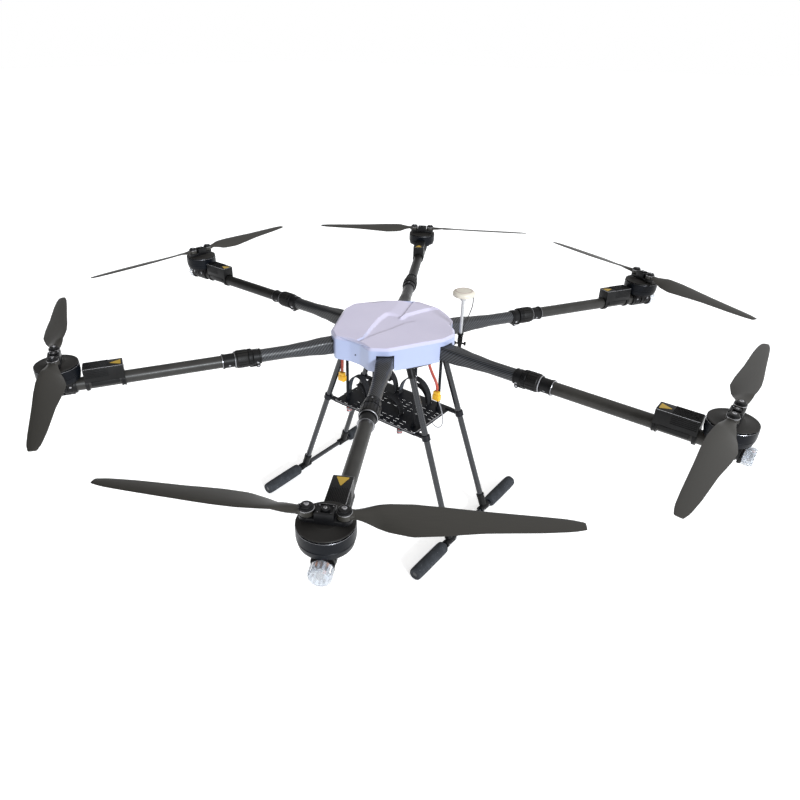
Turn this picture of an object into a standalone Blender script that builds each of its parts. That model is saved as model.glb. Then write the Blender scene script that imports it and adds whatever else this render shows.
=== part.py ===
"""Folding hexacopter drone on a skid landing gear.

Metres, +Z up, front along -Y, left along +X. The origin is on the ground, under the middle of the airframe.
Run it with: blender --background --python part.py
"""

import math

import bmesh
import bpy
from mathutils import Matrix, Vector

# Driving dimensions
HUB_CIRCLE = 0.800          # radius from the middle of the airframe to each motor's axis
ARM_Z = 0.511               # height of the arm tubes' axis
PROP_Z = 0.585              # height of the blades' mid plane
GAP = 0.0005                # clearance between pieces that touch
ARMS = {                    # name: polar angle of the arm, in degrees
    "front_left": -60,
    "left": 0,
    "rear_left": 60,
    "rear_right": 120,
    "right": 180,
    "front_right": 240,
}

# Arm
TUBE_R = 0.015
TUBE_WALL = 0.0015
SPLIT = 0.3745              # distance along the arm where its folding part begins
COLLAR_START = 0.3855
COLLAR_END = 0.4190
SLEEVE_END = 0.4485
TUBE_END = 0.8275
SLEEVE_R = 0.019
INNER_SLEEVE_R = 0.017
END_RING_R = 0.0185
END_RING_T = 0.005
COLLAR_R = 0.022
HINGE_X = 0.363
HINGE_DROP = 0.0200         # how far the fold pin lies below the tube's axis
PIN_R = 0.002
PIN_PLAY = 0.0004           # clearance round a pin in its hole
EAR_R = 0.005
TONGUE_R = 0.0045
POCKET_AIR = 0.0008         # room over the tongue in the root's sleeve
TONGUE_HALF = 0.006
EAR_HALF = 0.0115
ROOT_WALL = 0.0025
ROOT_SECTIONS = (           # distance along the arm, half width, half height, squareness
    (0.118, 0.0205, 0.0195, 8),
    (0.190, 0.0200, 0.0190, 5),
    (0.240, 0.0175, 0.0170, 3),
    (0.290, 0.0160, 0.0160, 2),
    (0.352, 0.0160, 0.0160, 2),
)

# Motor and propeller
BELL_R = 0.046
BELL_TOP = 0.570
BELL_BOTTOM = 0.531
BELL_WALL = 0.0035
MOUNT_TOP = 0.5265
STATOR_R = 0.0385
STATOR_TOP = 0.560
AIR_GAP = 0.0012            # between the stator and the bell
CONTROLLER_START = 0.666
CONTROLLER_END = 0.752
CONTROLLER_HALF = 0.018
CONTROLLER_TOP = 0.551
HOUSING_R = 0.0190
MOUNT_R = 0.030
LAMP_R = 0.019
LAMP_START = 0.8345
LAMP_END = 0.854
LAMP_Z = 0.505
BLADE_PIVOT = 0.0285        # from the propeller's axis to each blade's pivot
BLADE_PITCH = 0.2286        # advance of the blade in one turn
STEEPEST = 24               # degrees that the blade twists at most, near its root
BLADE_ROOT_R = 0.012
BLADE_ROOT_HALF = 0.005
CLAMP_R = 0.011
CLAMP_TOP = 0.5965
REST_TURN = {               # how far each resting blade has swung about its pivot, in degrees
    "front_left": (5.1, -2.1),
    "left": (3.1, 0.5),
    "rear_left": (8.5, 2.7),
    "rear_right": (5.0, -0.9),
    "right": (-2.2, 1.0),
    "front_right": (-2.1, 0.1),
}
CLOCKWISE = ("left", "rear_right", "front_right")

# Airframe
PLATE_BOTTOM = 0.4870
PLATE_T = 0.0025
TOP_PLATE_Z = 0.5325
BOTTOM_PLATE_R = 0.150
TOP_PLATE_R = 0.125
CANOPY_LOW = 0.490
CANOPY_EDGE = 0.5445
CANOPY_TOP = 0.550
CANOPY_WALL = 0.0025
CANOPY_HALF = (             # half of the plan, a lobe over each arm and a notch at each rear side
    (0.017, -0.158), (0.055, -0.171), (0.094, -0.143), (0.130, -0.075), (0.163, -0.013),
    (0.167, 0.031), (0.143, 0.066), (0.127, 0.075), (0.112, 0.108), (0.080, 0.134), (0.035, 0.160),
)
TOP_SHRINK = 0.965          # size of the canopy's flat top against its outline
NOTCH = (0.10, 0.0425)      # length and width of the opening that each arm passes through
NOTCH_TOP = 0.532
POST_CIRCLE = 0.095
POST_R = 0.006

# Landing gear
LEG_R = 0.008
SOCKET_R = 0.010
SOCKET_LENGTH = 0.035
LEG_TOP = Vector((0.103, 0.072, 0.4865))
SKID_X = 0.270
SKID_Z = 0.017
SKID_R = 0.007
SKID_HALF = 0.250
FOAM_START = 0.120
LEG_FOOT = Vector((SKID_X, 0.090, SKID_Z))
TEE_R = 0.0105
TEE_REACH = 0.045           # how far the tee's grip runs up the leg
TEE_HALF = 0.020

# Battery tray
TRAY_Z = 0.2985
TRAY_T = 0.0025
TRAY_HALF = (0.140, 0.090)
HANGER = (0.114, 0.058)
HANGER_R = 0.004
DAMPER = (0.088, 0.083)     # place of each round damper under the tray
DAMPER_R = 0.006
DAMPER_DROP = 0.016
LEG_CLAMP_R = 0.0125
LEG_CLAMP_HALF = 0.011
ARM_LAP = 0.010             # how far a clamp's arm reaches in over the tray
STRAP_WIDTH = 0.020
STRAP_T = 0.0016
STRAP_TAIL = 0.012
SLOT = (0.005, 0.024)
STRAPS = {                  # name: (y, ((arch centre, half width, height over the tray), ...))
    "battery_strap_front": (-0.028, ((-0.098, 0.036, 0.066), (0.012, 0.040, 0.046))),
    "battery_strap_rear": (0.066, ((-0.068, 0.032, 0.056), (0.030, 0.050, 0.066))),
}

# Antenna mast
MAST_ANGLE = math.radians(27.2)
MAST_RADIUS = 0.1725
MAST_PIN_Z = 0.520
PUCK_LOW = 0.634
PUCK_HEIGHT = 0.015
PUCK_R = 0.0275
MAST_R = 0.004
BRACKET_LOW = 0.4790

# Cords, each as the points that its smooth route passes through
CABLE_R = 0.00125
CABLE_ROUTE = (             # from the puck's underside down to the mast's boss, in the mast's frame
    (0.0235, 0, 0.1137), (0.0245, 0, 0.1030), (0.0235, 0, 0.0880), (0.0185, 0, 0.0690),
    (0.0125, 0, 0.0500), (0.0078, 0, 0.0350), (0.0061, 0, 0.0220), (0.0060, 0, 0.0143),
)
LEAD_R = 0.0045
LEADS = {                   # from the frame's plate down to the plug
    "right": ((-0.095, -0.098, 0.4865), (-0.0953, -0.0983, 0.465), (-0.0947, -0.0997, 0.440),
              (-0.095, -0.101, 0.4130)),
    "left": ((0.098, 0.020, 0.4865), (0.0983, 0.020, 0.470), (0.1040, 0.0192, 0.447),
             (0.1165, 0.0168, 0.427), (0.1290, 0.0147, 0.411), (0.1348, 0.0138, 0.397),
             (0.1350, 0.0138, 0.3865)),
}
PLUG_SIZE = (0.021, 0.013, 0.028)

ROUND = 12                  # sides of a small round piece

for old in list(bpy.data.objects):
    bpy.data.objects.remove(old, do_unlink=True)

SCENE = bpy.context.scene
DRONE = bpy.data.collections.new("hexacopter")
WORKSHOP = bpy.data.collections.new("cutters")
SCENE.collection.children.link(DRONE)
SCENE.collection.children.link(WORKSHOP)


def material(name, colour, roughness, metallic=0.0):
    made = bpy.data.materials.new(name)
    made.use_nodes = True
    shader = made.node_tree.nodes["Principled BSDF"]
    shader.inputs["Base Color"].default_value = (*colour, 1.0)
    shader.inputs["Roughness"].default_value = roughness
    shader.inputs["Metallic"].default_value = metallic
    made.diffuse_color = (*colour, 1.0)
    return made


CARBON = material("carbon", (0.035, 0.033, 0.031), 0.45)
ANODISED = material("anodised", (0.02, 0.02, 0.022), 0.35, 0.8)
MOTOR_BLACK = material("motor_black", (0.03, 0.032, 0.036), 0.4, 0.5)
BLADE_GREY = material("blade_grey", (0.06, 0.057, 0.05), 0.55)
SHELL = material("shell_white", (0.78, 0.76, 0.85), 0.4)
GLOSS_TUBE = material("gloss_tube", (0.02, 0.022, 0.028), 0.2)
FOAM = material("foam", (0.05, 0.052, 0.056), 0.85)
WEBBING = material("webbing", (0.03, 0.03, 0.035), 0.9)
PUCK_WHITE = material("puck_white", (0.8, 0.78, 0.72), 0.4)
LEAD_RED = material("lead_red", (0.6, 0.08, 0.04), 0.45)
PLUG_YELLOW = material("plug_yellow", (0.85, 0.5, 0.03), 0.4)
CABLE_BLACK = material("cable_black", (0.04, 0.04, 0.04), 0.5)


# Helpers: each returns a shape in the workshop collection, which the build leaves out
def workpiece(bm):
    mesh = bpy.data.meshes.new("workpiece")
    bm.to_mesh(mesh)
    bm.free()
    made = bpy.data.objects.new("workpiece", mesh)
    WORKSHOP.objects.link(made)
    made.hide_render = True
    made.display_type = "WIRE"
    return made


def blocks(*sizes_and_centres, turn=Matrix()):
    """One workpiece of separate boxes, each given as its size and its centre."""
    bm = bmesh.new()
    for size, centre in sizes_and_centres:
        place = turn @ Matrix.Translation(centre) @ Matrix.Diagonal((*size, 1.0))
        bmesh.ops.create_cube(bm, size=1.0, matrix=place)
    return workpiece(bm)


def rods(*ends, radius, sides=ROUND):
    """One workpiece of separate rods, each given as its two ends."""
    bm = bmesh.new()
    for start, end in ends:
        start, end = Vector(start), Vector(end)
        run = end - start
        turn = run.to_track_quat("Z", "Y").to_matrix().to_4x4()
        place = Matrix.Translation((start + end) / 2) @ turn
        bmesh.ops.create_cone(
            bm,
            cap_ends=True,
            segments=sides,
            radius1=radius,
            radius2=radius,
            depth=run.length,
            matrix=place,
        )
    return workpiece(bm)


def turned(profile, steps, closed=False, turn=Matrix()):
    """A solid of revolution about Z from (radius, height) points, laid along another axis by turn."""
    bm = bmesh.new()
    points = [bm.verts.new((radius, 0.0, height)) for radius, height in profile]
    for first, second in zip(points, points[1:]):
        bm.edges.new((first, second))
    if closed:
        bm.edges.new((points[-1], points[0]))
    line = workpiece(bm)
    screw = line.modifiers.new("turn", "SCREW")
    screw.steps = steps
    screw.render_steps = steps
    screw.use_merge_vertices = True
    screw.merge_threshold = 0.0001
    mesh = evaluated(line)
    mesh.transform(turn)
    bpy.data.objects.remove(line, do_unlink=True)
    return outward(mesh)


def outward(mesh):
    bm = bmesh.new()
    bm.from_mesh(mesh)
    bmesh.ops.recalc_face_normals(bm, faces=bm.faces)
    return workpiece(bm)


def skin(rings, hollow=False):
    """A closed skin through rings of points: capped at both ends or, if hollow, joined back to the first."""
    bm = bmesh.new()
    made = [[bm.verts.new(point) for point in ring] for ring in rings]
    following = made[1:] + made[:1] if hollow else made[1:]
    for near, far in zip(made, following):
        for k in range(len(near)):
            bm.faces.new((near[k - 1], near[k], far[k], far[k - 1]))
    if not hollow:
        bm.faces.new(made[0])
        bm.faces.new(made[-1])
    bmesh.ops.recalc_face_normals(bm, faces=bm.faces)
    return workpiece(bm)


def evaluated(obj):
    bpy.context.view_layer.update()
    graph = bpy.context.evaluated_depsgraph_get()
    return bpy.data.meshes.new_from_object(obj.evaluated_get(graph))


def fused(base, joined=(), cut=()):
    """The mesh of base with the joined pieces added and the cut pieces taken away."""
    for operation, others in (("UNION", joined), ("DIFFERENCE", cut)):
        for other in others:
            change = base.modifiers.new(operation.lower(), "BOOLEAN")
            change.operation = operation
            change.object = other
    mesh = evaluated(base)
    for obj in (base, *joined, *cut):
        bpy.data.objects.remove(obj, do_unlink=True)
    return mesh


def node(name, mesh, finish, origin=(0.0, 0.0, 0.0), parent=None, turn=0.0, smooth=30):
    """Adds a finished piece. Its mesh is in its parent's frame, and its origin goes to the given point."""
    mesh = mesh.copy()
    mesh.transform(Matrix.Translation(-Vector(origin)))
    mesh.materials.clear()
    mesh.materials.append(finish)
    if smooth:
        mesh.shade_smooth()
        mesh.set_sharp_from_angle(angle=math.radians(smooth))
    made = bpy.data.objects.new(name, mesh)
    DRONE.objects.link(made)
    made.location = origin
    made.rotation_euler.z = turn
    made.parent = parent
    return made


def empty(name, turn):
    made = bpy.data.objects.new(name, None)
    DRONE.objects.link(made)
    made.rotation_euler.z = turn
    return made


ALONG_X = Matrix.Rotation(math.pi / 2, 4, "Y")
ALONG_Y = Matrix.Rotation(-math.pi / 2, 4, "X")


def section(x, half_width, half_height, power):
    """A ring across the arm: round at power 2, and squarer as the power grows."""
    ring = []
    for k in range(ROUND):
        angle = 2 * math.pi * (k + 0.5) / ROUND
        across, up = math.cos(angle), math.sin(angle)
        reach = (abs(across) ** power + abs(up) ** power) ** (-1 / power)
        ring.append((x, half_width * across * reach, ARM_Z + half_height * up * reach))
    return ring


def arm_root_mesh():
    """The square carbon root that narrows to a round sleeve, with the fold hinge's ears and pin below it."""
    bore = TUBE_R - TUBE_WALL
    end = SPLIT - GAP
    outer = [section(*across) for across in ROOT_SECTIONS]
    outer += [section(x, SLEEVE_R, SLEEVE_R, 2) for x in (ROOT_SECTIONS[-1][0], end)]
    first, round_part = ROOT_SECTIONS[0], ROOT_SECTIONS[3]
    inner = [
        section(end, bore, bore, 2),
        section(round_part[0], bore, bore, 2),
        section(first[0], first[1] - ROOT_WALL, first[2] - ROOT_WALL, first[3]),
    ]
    pin_z = ARM_Z - HINGE_DROP
    ear_t = EAR_HALF - TONGUE_HALF - GAP
    ear_y = EAR_HALF - ear_t / 2
    ear_top = ARM_Z - TUBE_R
    ears = [
        blocks(
            ((2 * EAR_R, ear_t, ear_top - pin_z), (HINGE_X, side * ear_y, (ear_top + pin_z) / 2))
        )
        for side in (-1, 1)
    ]
    knuckles = [
        rods(
            ((HINGE_X, side * (EAR_HALF - ear_t), pin_z), (HINGE_X, side * EAR_HALF, pin_z)),
            radius=EAR_R,
        )
        for side in (-1, 1)
    ]
    pin = rods(((HINGE_X, 0.001 - EAR_HALF, pin_z), (HINGE_X, EAR_HALF - 0.001, pin_z)), radius=PIN_R)
    pocket_size = (SPLIT - HINGE_X + TONGUE_R + 0.002, 2 * (TONGUE_HALF + PIN_PLAY), 2 * TONGUE_R)
    pocket_centre = (SPLIT + 0.001 - pocket_size[0] / 2, 0, pin_z + POCKET_AIR)
    sleeve = fused(skin(outer + inner, hollow=True), [], [blocks((pocket_size, pocket_centre))])
    return fused(outward(sleeve), [*ears, *knuckles, pin])


def arm_tube_mesh():
    """The outer tube with its sleeve, and the tongue that turns on the fold pin."""
    bore = TUBE_R - TUBE_WALL
    profile = [
        (bore, TUBE_END),
        (TUBE_R, TUBE_END),
        (TUBE_R, SLEEVE_END),
        (END_RING_R, SLEEVE_END),
        (END_RING_R, SLEEVE_END - END_RING_T),
        (INNER_SLEEVE_R, SLEEVE_END - END_RING_T),
        (INNER_SLEEVE_R, COLLAR_START - GAP),
        (SLEEVE_R, COLLAR_START - GAP),
        (SLEEVE_R, SPLIT + GAP),
        (bore, SPLIT + GAP),
    ]
    tube = turned(profile, ROUND, closed=True, turn=Matrix.Translation((0, 0, ARM_Z)) @ ALONG_X)
    pin_z = ARM_Z - HINGE_DROP
    web_start = SPLIT + 2 * GAP
    web_end = COLLAR_START - 2 * GAP
    web_size = (web_end - web_start, 2 * TONGUE_HALF, HINGE_DROP + TONGUE_R - TUBE_R - 0.001)
    web = blocks((web_size, ((web_start + web_end) / 2, 0, pin_z - TONGUE_R + web_size[2] / 2)))
    tongue_end = web_end - 0.001
    tongue_size = (tongue_end - HINGE_X, 2 * TONGUE_HALF - PIN_PLAY, 2 * TONGUE_R - PIN_PLAY)
    tongue = blocks((tongue_size, ((tongue_end + HINGE_X) / 2, 0, pin_z)))
    knuckle = rods(((HINGE_X, -TONGUE_HALF, pin_z), (HINGE_X, TONGUE_HALF, pin_z)), radius=TONGUE_R)
    hole = rods(((HINGE_X, -SLEEVE_R, pin_z), (HINGE_X, SLEEVE_R, pin_z)), radius=PIN_R + PIN_PLAY)
    return fused(tube, [web, tongue, knuckle], [hole])


def collar_mesh():
    """The threaded lock collar, which runs out along the sleeve to free the fold."""
    bore = INNER_SLEEVE_R + 0.0006
    profile = [
        (bore, COLLAR_END),
        (COLLAR_R - 0.003, COLLAR_END),
        (COLLAR_R, COLLAR_END - 0.006),
        (COLLAR_R, COLLAR_START + 0.001),
        (COLLAR_R - 0.001, COLLAR_START),
        (bore, COLLAR_START),
    ]
    place = Matrix.Translation((0, 0, ARM_Z)) @ ALONG_X
    return fused(turned(profile, 16, closed=True, turn=place))


def mount_mesh():
    """The clamp under the motor, with the speed controller's housing, the stator and the lamp."""
    end = TUBE_END + 0.004
    housing = rods(((CONTROLLER_START, 0, ARM_Z), (end, 0, ARM_Z)), radius=HOUSING_R, sides=16)
    controller_h = CONTROLLER_TOP - ARM_Z
    controller = blocks(
        (
            (CONTROLLER_END - CONTROLLER_START - 0.001, 2 * CONTROLLER_HALF, controller_h),
            ((CONTROLLER_START + CONTROLLER_END) / 2, 0, ARM_Z + controller_h / 2),
        )
    )
    base = rods(((HUB_CIRCLE, 0, ARM_Z), (HUB_CIRCLE, 0, MOUNT_TOP)), radius=MOUNT_R, sides=16)
    stator = rods(
        ((HUB_CIRCLE, 0, MOUNT_TOP - 0.001), (HUB_CIRCLE, 0, STATOR_TOP)), radius=STATOR_R, sides=16
    )
    bracket = blocks(
        ((LAMP_START + 0.001 - end + 0.002, 0.026, 0.030), ((LAMP_START + end - 0.001) / 2, 0, LAMP_Z))
    )
    lamp = rods(((LAMP_START, 0, LAMP_Z), (LAMP_END, 0, LAMP_Z)), radius=LAMP_R, sides=16)
    bore = rods(
        ((CONTROLLER_START - 0.01, 0, ARM_Z), (TUBE_END + GAP, 0, ARM_Z)), radius=TUBE_R + 0.0006
    )
    return fused(housing, [controller, base, stator, bracket, lamp], [bore])


def rotor_mesh():
    """The motor's bell with the propeller hub on top: a bar, two blade pins and their caps."""
    profile = [
        (0.0, BELL_TOP),
        (BELL_R - 0.003, BELL_TOP),
        (BELL_R, BELL_TOP - 0.004),
        (BELL_R - 0.0015, BELL_BOTTOM + 0.012),
        (BELL_R - 0.004, BELL_BOTTOM),
        (STATOR_R + AIR_GAP, BELL_BOTTOM),
        (STATOR_R + AIR_GAP, BELL_TOP - BELL_WALL),
        (0.0, BELL_TOP - BELL_WALL),
    ]
    bell = turned(profile, 20)
    root_low, root_high = PROP_Z - BLADE_ROOT_HALF, PROP_Z + BLADE_ROOT_HALF
    bar_top = root_low - GAP
    bar_low = BELL_TOP - 0.001
    bar = blocks(((0.024, 0.080, bar_top - bar_low), (0, 0, (bar_top + bar_low) / 2)))
    cap_low = root_high + GAP
    block = blocks(((0.026, 0.028, cap_low - BELL_TOP), (0, 0, (cap_low + BELL_TOP) / 2)))
    ends = [(0, side * BLADE_PIVOT, 0) for side in (-1, 1)]
    pins = rods(
        *[((x, y, bar_top - 0.002), (x, y, cap_low + 0.001)) for x, y, _ in ends], radius=PIN_R
    )
    caps = rods(*[((x, y, cap_low), (x, y, CLAMP_TOP)) for x, y, _ in ends], radius=CLAMP_R)
    mesh = fused(bell, [bar, block, pins, caps])
    mesh.transform(Matrix.Translation((HUB_CIRCLE, 0, 0)))
    return mesh


BLADE_STATIONS = (          # distance from the pivot, leading edge, trailing edge, thickness
    (0.002, 0.0095, 0.0095, 0.0085),
    (0.017, 0.0120, 0.0085, 0.0080),
    (0.040, 0.0165, 0.0165, 0.0065),
    (0.065, 0.0205, 0.0255, 0.0055),
    (0.100, 0.0230, 0.0330, 0.0050),
    (0.142, 0.0220, 0.0300, 0.0045),
    (0.202, 0.0185, 0.0225, 0.0038),
    (0.283, 0.0148, 0.0170, 0.0030),
    (0.320, 0.0125, 0.0128, 0.0026),
    (0.346, 0.0075, 0.0070, 0.0022),
)


def blade_mesh(spin):
    """A blade along +Y from its pivot at the origin. Spin is 1 counter-clockwise, -1 clockwise."""
    rings = []
    for reach, lead, trail, thick in BLADE_STATIONS:
        pitch = math.atan(BLADE_PITCH / (2 * math.pi * (reach + BLADE_PIVOT)))
        untwisted = min(1.0, max(0.0, (reach - 0.015) / 0.035))
        pitch = min(pitch, math.radians(STEEPEST)) * untwisted
        ring = []
        around = (
            (lead, 0.0), (lead * 0.45, 0.5), (-trail * 0.5, 0.42),
            (-trail, 0.0), (-trail * 0.5, -0.25), (lead * 0.45, -0.5),
        )
        for along, up in around:
            height = up * thick
            across = along * math.cos(pitch) - height * math.sin(pitch)
            rise = along * math.sin(pitch) + height * math.cos(pitch)
            ring.append((-spin * across, reach, PROP_Z + rise))
        rings.append(ring)
    low, high = PROP_Z - BLADE_ROOT_HALF, PROP_Z + BLADE_ROOT_HALF
    root = rods(((0, 0, low), (0, 0, high)), radius=BLADE_ROOT_R)
    hole = rods(((0, 0, low - 0.01), (0, 0, high + 0.01)), radius=PIN_R + PIN_PLAY)
    return fused(skin(rings), [root], [hole])


def add_arms():
    root, tube, collar = arm_root_mesh(), arm_tube_mesh(), collar_mesh()
    mount, rotor = mount_mesh(), rotor_mesh()
    blades = {1: blade_mesh(1), -1: blade_mesh(-1)}
    hinge = (HINGE_X, 0, ARM_Z - HINGE_DROP)
    hub = Vector((HUB_CIRCLE, 0, 0))
    for name, angle in ARMS.items():
        frame = empty("arm_" + name, math.radians(angle))
        node("arm_root_" + name, root, CARBON, parent=frame)
        node("arm_tube_" + name, tube, CARBON, hinge, frame)
        node("lock_collar_" + name, collar, ANODISED, (COLLAR_START, 0, ARM_Z), frame)
        node("motor_mount_" + name, mount, ANODISED, hinge, frame)
        node("rotor_" + name, rotor, MOTOR_BLACK, hub, frame)
        mesh = blades[-1 if name in CLOCKWISE else 1]
        for letter, side, rest in zip("ab", (1, -1), REST_TURN[name]):
            turn = math.radians(rest) + (0.0 if side > 0 else math.pi)
            blade = node("blade_" + letter + "_" + name, mesh, BLADE_GREY, parent=frame, turn=turn)
            blade.location = hub + Vector((0, side * BLADE_PIVOT, 0))


def canopy_mesh():
    """The canopy's thin shell, open below, with a notch over each arm."""
    outline = [*CANOPY_HALF, *[(-x, y) for x, y in reversed(CANOPY_HALF)]]
    bm = bmesh.new()
    levels = ((CANOPY_LOW, 1.0), (CANOPY_EDGE, 1.0), (CANOPY_TOP, TOP_SHRINK))
    rings = [[bm.verts.new((x * k, y * k, z)) for x, y in outline] for z, k in levels]
    for low, high in zip(rings, rings[1:]):
        for k in range(len(outline)):
            after = (k + 1) % len(outline)
            bm.faces.new((low[k], low[after], high[after], high[k]))
    bm.faces.new(rings[-1])
    shell = workpiece(bm)
    wall = shell.modifiers.new("wall", "SOLIDIFY")
    wall.thickness = CANOPY_WALL
    wall.offset = -1
    wall.use_even_offset = True
    shell = outward(fused(shell))
    low = CANOPY_LOW - 0.01
    notch = ((*NOTCH, NOTCH_TOP - low), (0.165, 0, (NOTCH_TOP + low) / 2))
    notches = [
        blocks(notch, turn=Matrix.Rotation(math.radians(angle), 4, "Z")) for angle in ARMS.values()
    ]
    return fused(shell, cut=notches)


def frame_mesh():
    """Two carbon plates that hold the arm roots between them, with posts between the roots."""
    plates = [
        rods(((0, 0, low), (0, 0, low + PLATE_T)), radius=radius, sides=24)
        for low, radius in ((PLATE_BOTTOM, BOTTOM_PLATE_R), (TOP_PLATE_Z, TOP_PLATE_R))
    ]
    posts = []
    for k in range(6):
        angle = math.radians(30 + 60 * k)
        x, y = POST_CIRCLE * math.cos(angle), POST_CIRCLE * math.sin(angle)
        posts.append(((x, y, PLATE_BOTTOM + 0.001), (x, y, TOP_PLATE_Z + 0.001)))
    stood = outward(fused(plates[0], [rods(*posts, radius=POST_R)]))
    return fused(stood, [plates[1]])


def leg_mesh(side, end):
    """A leg tube from the frame's plate to its tee, which wraps the skid."""
    flip = Vector((side, end, 1))
    top, foot = LEG_TOP * flip, LEG_FOOT * flip
    run = (foot - top).normalized()
    start = top - run * 0.02
    along = Vector((0, TEE_HALF, 0))
    tube = rods((start, foot), radius=LEG_R)
    socket = rods((start, top + run * SOCKET_LENGTH), radius=SOCKET_R)
    grip = rods((foot - run * TEE_REACH, foot), radius=TEE_R)
    tee = rods((foot - along, foot + along), radius=TEE_R)
    bore = rods((foot - 2 * along, foot + 2 * along), radius=SKID_R + PIN_PLAY)
    over = blocks(((0.1, 0.1, 0.04), (top.x, top.y, LEG_TOP.z + 0.02)))
    return fused(tube, [socket, grip, tee], [bore, over])


def skid_mesh(side):
    """A skid tube with a foam sleeve on each end."""
    half = [(SKID_R, FOAM_START), (SKID_Z, FOAM_START), (SKID_Z, SKID_HALF)]
    profile = [(0.0, SKID_HALF)] + half[::-1] + [(r, -y) for r, y in half] + [(0.0, -SKID_HALF)]
    place = Matrix.Translation((side * SKID_X, 0, SKID_Z)) @ ALONG_Y
    return fused(turned(profile, 16, turn=place))


def tray_mesh():
    """The battery tray: a slotted plate, four hangers, a clamp on each leg and four dampers below."""
    half_x, half_y = TRAY_HALF
    middle = TRAY_Z + TRAY_T / 2
    plate = blocks(((2 * half_x, 2 * half_y, TRAY_T), (0, 0, middle)))
    corners = [Vector((sx, sy, 1)) for sx in (-1, 1) for sy in (-1, 1)]
    hanger = (Vector((*HANGER, middle)), Vector((*HANGER, LEG_TOP.z)))
    hangers = rods(
        *[(hanger[0] * flip, hanger[1] * flip) for flip in corners], radius=HANGER_R, sides=8
    )
    share = (LEG_TOP.z - middle) / (LEG_TOP.z - LEG_FOOT.z)
    clamp = LEG_TOP.lerp(LEG_FOOT, share)
    run = (LEG_FOOT - LEG_TOP).normalized()
    reach = clamp.x - half_x + ARM_LAP
    arm = Vector((clamp.x - reach / 2, clamp.y, middle))
    arms = blocks(*[((reach, 0.014, 0.008), arm * flip) for flip in corners])
    grip, through = run * LEG_CLAMP_HALF, run * 2 * LEG_CLAMP_HALF
    rings = rods(
        *[((clamp - grip) * flip, (clamp + grip) * flip) for flip in corners], radius=LEG_CLAMP_R
    )
    bores = rods(
        *[((clamp - through) * flip, (clamp + through) * flip) for flip in corners],
        radius=LEG_R + PIN_PLAY,
    )
    damper = (Vector((*DAMPER, TRAY_Z - DAMPER_DROP)), Vector((*DAMPER, middle)))
    dampers = rods(
        *[(damper[0] * flip, damper[1] * flip) for flip in corners], radius=DAMPER_R, sides=8
    )
    slots = []
    for y, arches in STRAPS.values():
        for centre, half, _ in arches:
            for x in (centre - half, centre + half):
                slots.append(((*SLOT, 0.02), (x, y, middle)))
    return fused(plate, [hangers, arms, rings, dampers], [bores, blocks(*slots)])


def strap_mesh(y, arches):
    """One webbing strap: it runs under the tray and rises through the slots in two arches."""
    under = TRAY_Z - GAP - STRAP_T / 2
    steps = 10
    path = [(arches[0][0] - arches[0][1] - STRAP_TAIL, under)]
    spring = TRAY_Z + TRAY_T + 0.004
    for centre, half, height in arches:
        path.append((centre - half, under))
        for k in range(steps + 1):
            angle = math.pi * (1 - k / steps)
            rise = (height - 0.004) * math.sin(angle)
            path.append((centre + half * math.cos(angle), spring + rise))
        path.append((centre + half, under))
    path.append((arches[-1][0] + arches[-1][1] + STRAP_TAIL, under))
    bm = bmesh.new()
    edges = [[bm.verts.new((x, y + side * STRAP_WIDTH / 2, z)) for x, z in path] for side in (-1, 1)]
    for k in range(len(path) - 1):
        bm.faces.new((edges[0][k], edges[0][k + 1], edges[1][k + 1], edges[1][k]))
    band = workpiece(bm)
    wall = band.modifiers.new("thickness", "SOLIDIFY")
    wall.thickness = STRAP_T
    wall.offset = 0
    return fused(outward(fused(band)))


def mast_frame():
    """The frame of the antenna mast: X outward from the airframe, with its pin at the origin."""
    place = Matrix.Rotation(MAST_ANGLE, 4, "Z")
    return place @ Matrix.Translation((MAST_RADIUS, 0, MAST_PIN_Z))


def gps_mount_mesh():
    """The bracket under the frame's plate that carries the mast's clevis."""
    low = BRACKET_LOW - MAST_PIN_Z
    under_plate = PLATE_BOTTOM - GAP - MAST_PIN_Z
    foot_start = 0.1385 - MAST_RADIUS
    foot = blocks(((0.007 - foot_start, 0.016, under_plate - low),
                   ((0.007 + foot_start) / 2, 0, (under_plate + low) / 2)))
    post = rods(((0, 0, low + 0.001), (0, 0, -0.012)), radius=0.005)
    yoke = blocks(((0.012, 0.017, 0.005), (0, 0, -0.0105)))
    ears = blocks(*[((0.012, 0.0038, 0.014), (0, side * 0.0066, -0.0015)) for side in (-1, 1)])
    pin = rods(((0, -0.0075, 0), (0, 0.0075, 0)), radius=0.0025)
    return fused(foot, [post, yoke, ears, pin])


def gps_mast_mesh():
    """The mast: a knuckle on the pin, a boss, the rod and the round antenna puck."""
    low = PUCK_LOW - MAST_PIN_Z
    high = low + PUCK_HEIGHT
    knuckle = rods(((0, -0.0042, 0), (0, 0.0042, 0)), radius=0.0062)
    rod = rods(((0, 0, 0.003), (0, 0, low + 0.001)), radius=MAST_R)
    boss = rods(((0, 0, 0.0088), (0, 0, 0.0140)), radius=0.0080)
    profile = [
        (0.0, high), (PUCK_R * 0.7, high - 0.001), (PUCK_R, high - 0.006),
        (PUCK_R, low + 0.004), (PUCK_R * 0.85, low), (0.0, low),
    ]
    puck = turned(profile, 20)
    hole = rods(((0, -0.02, 0), (0, 0.02, 0)), radius=0.0029)
    return fused(puck, [rod, boss, knuckle], [hole])


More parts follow.
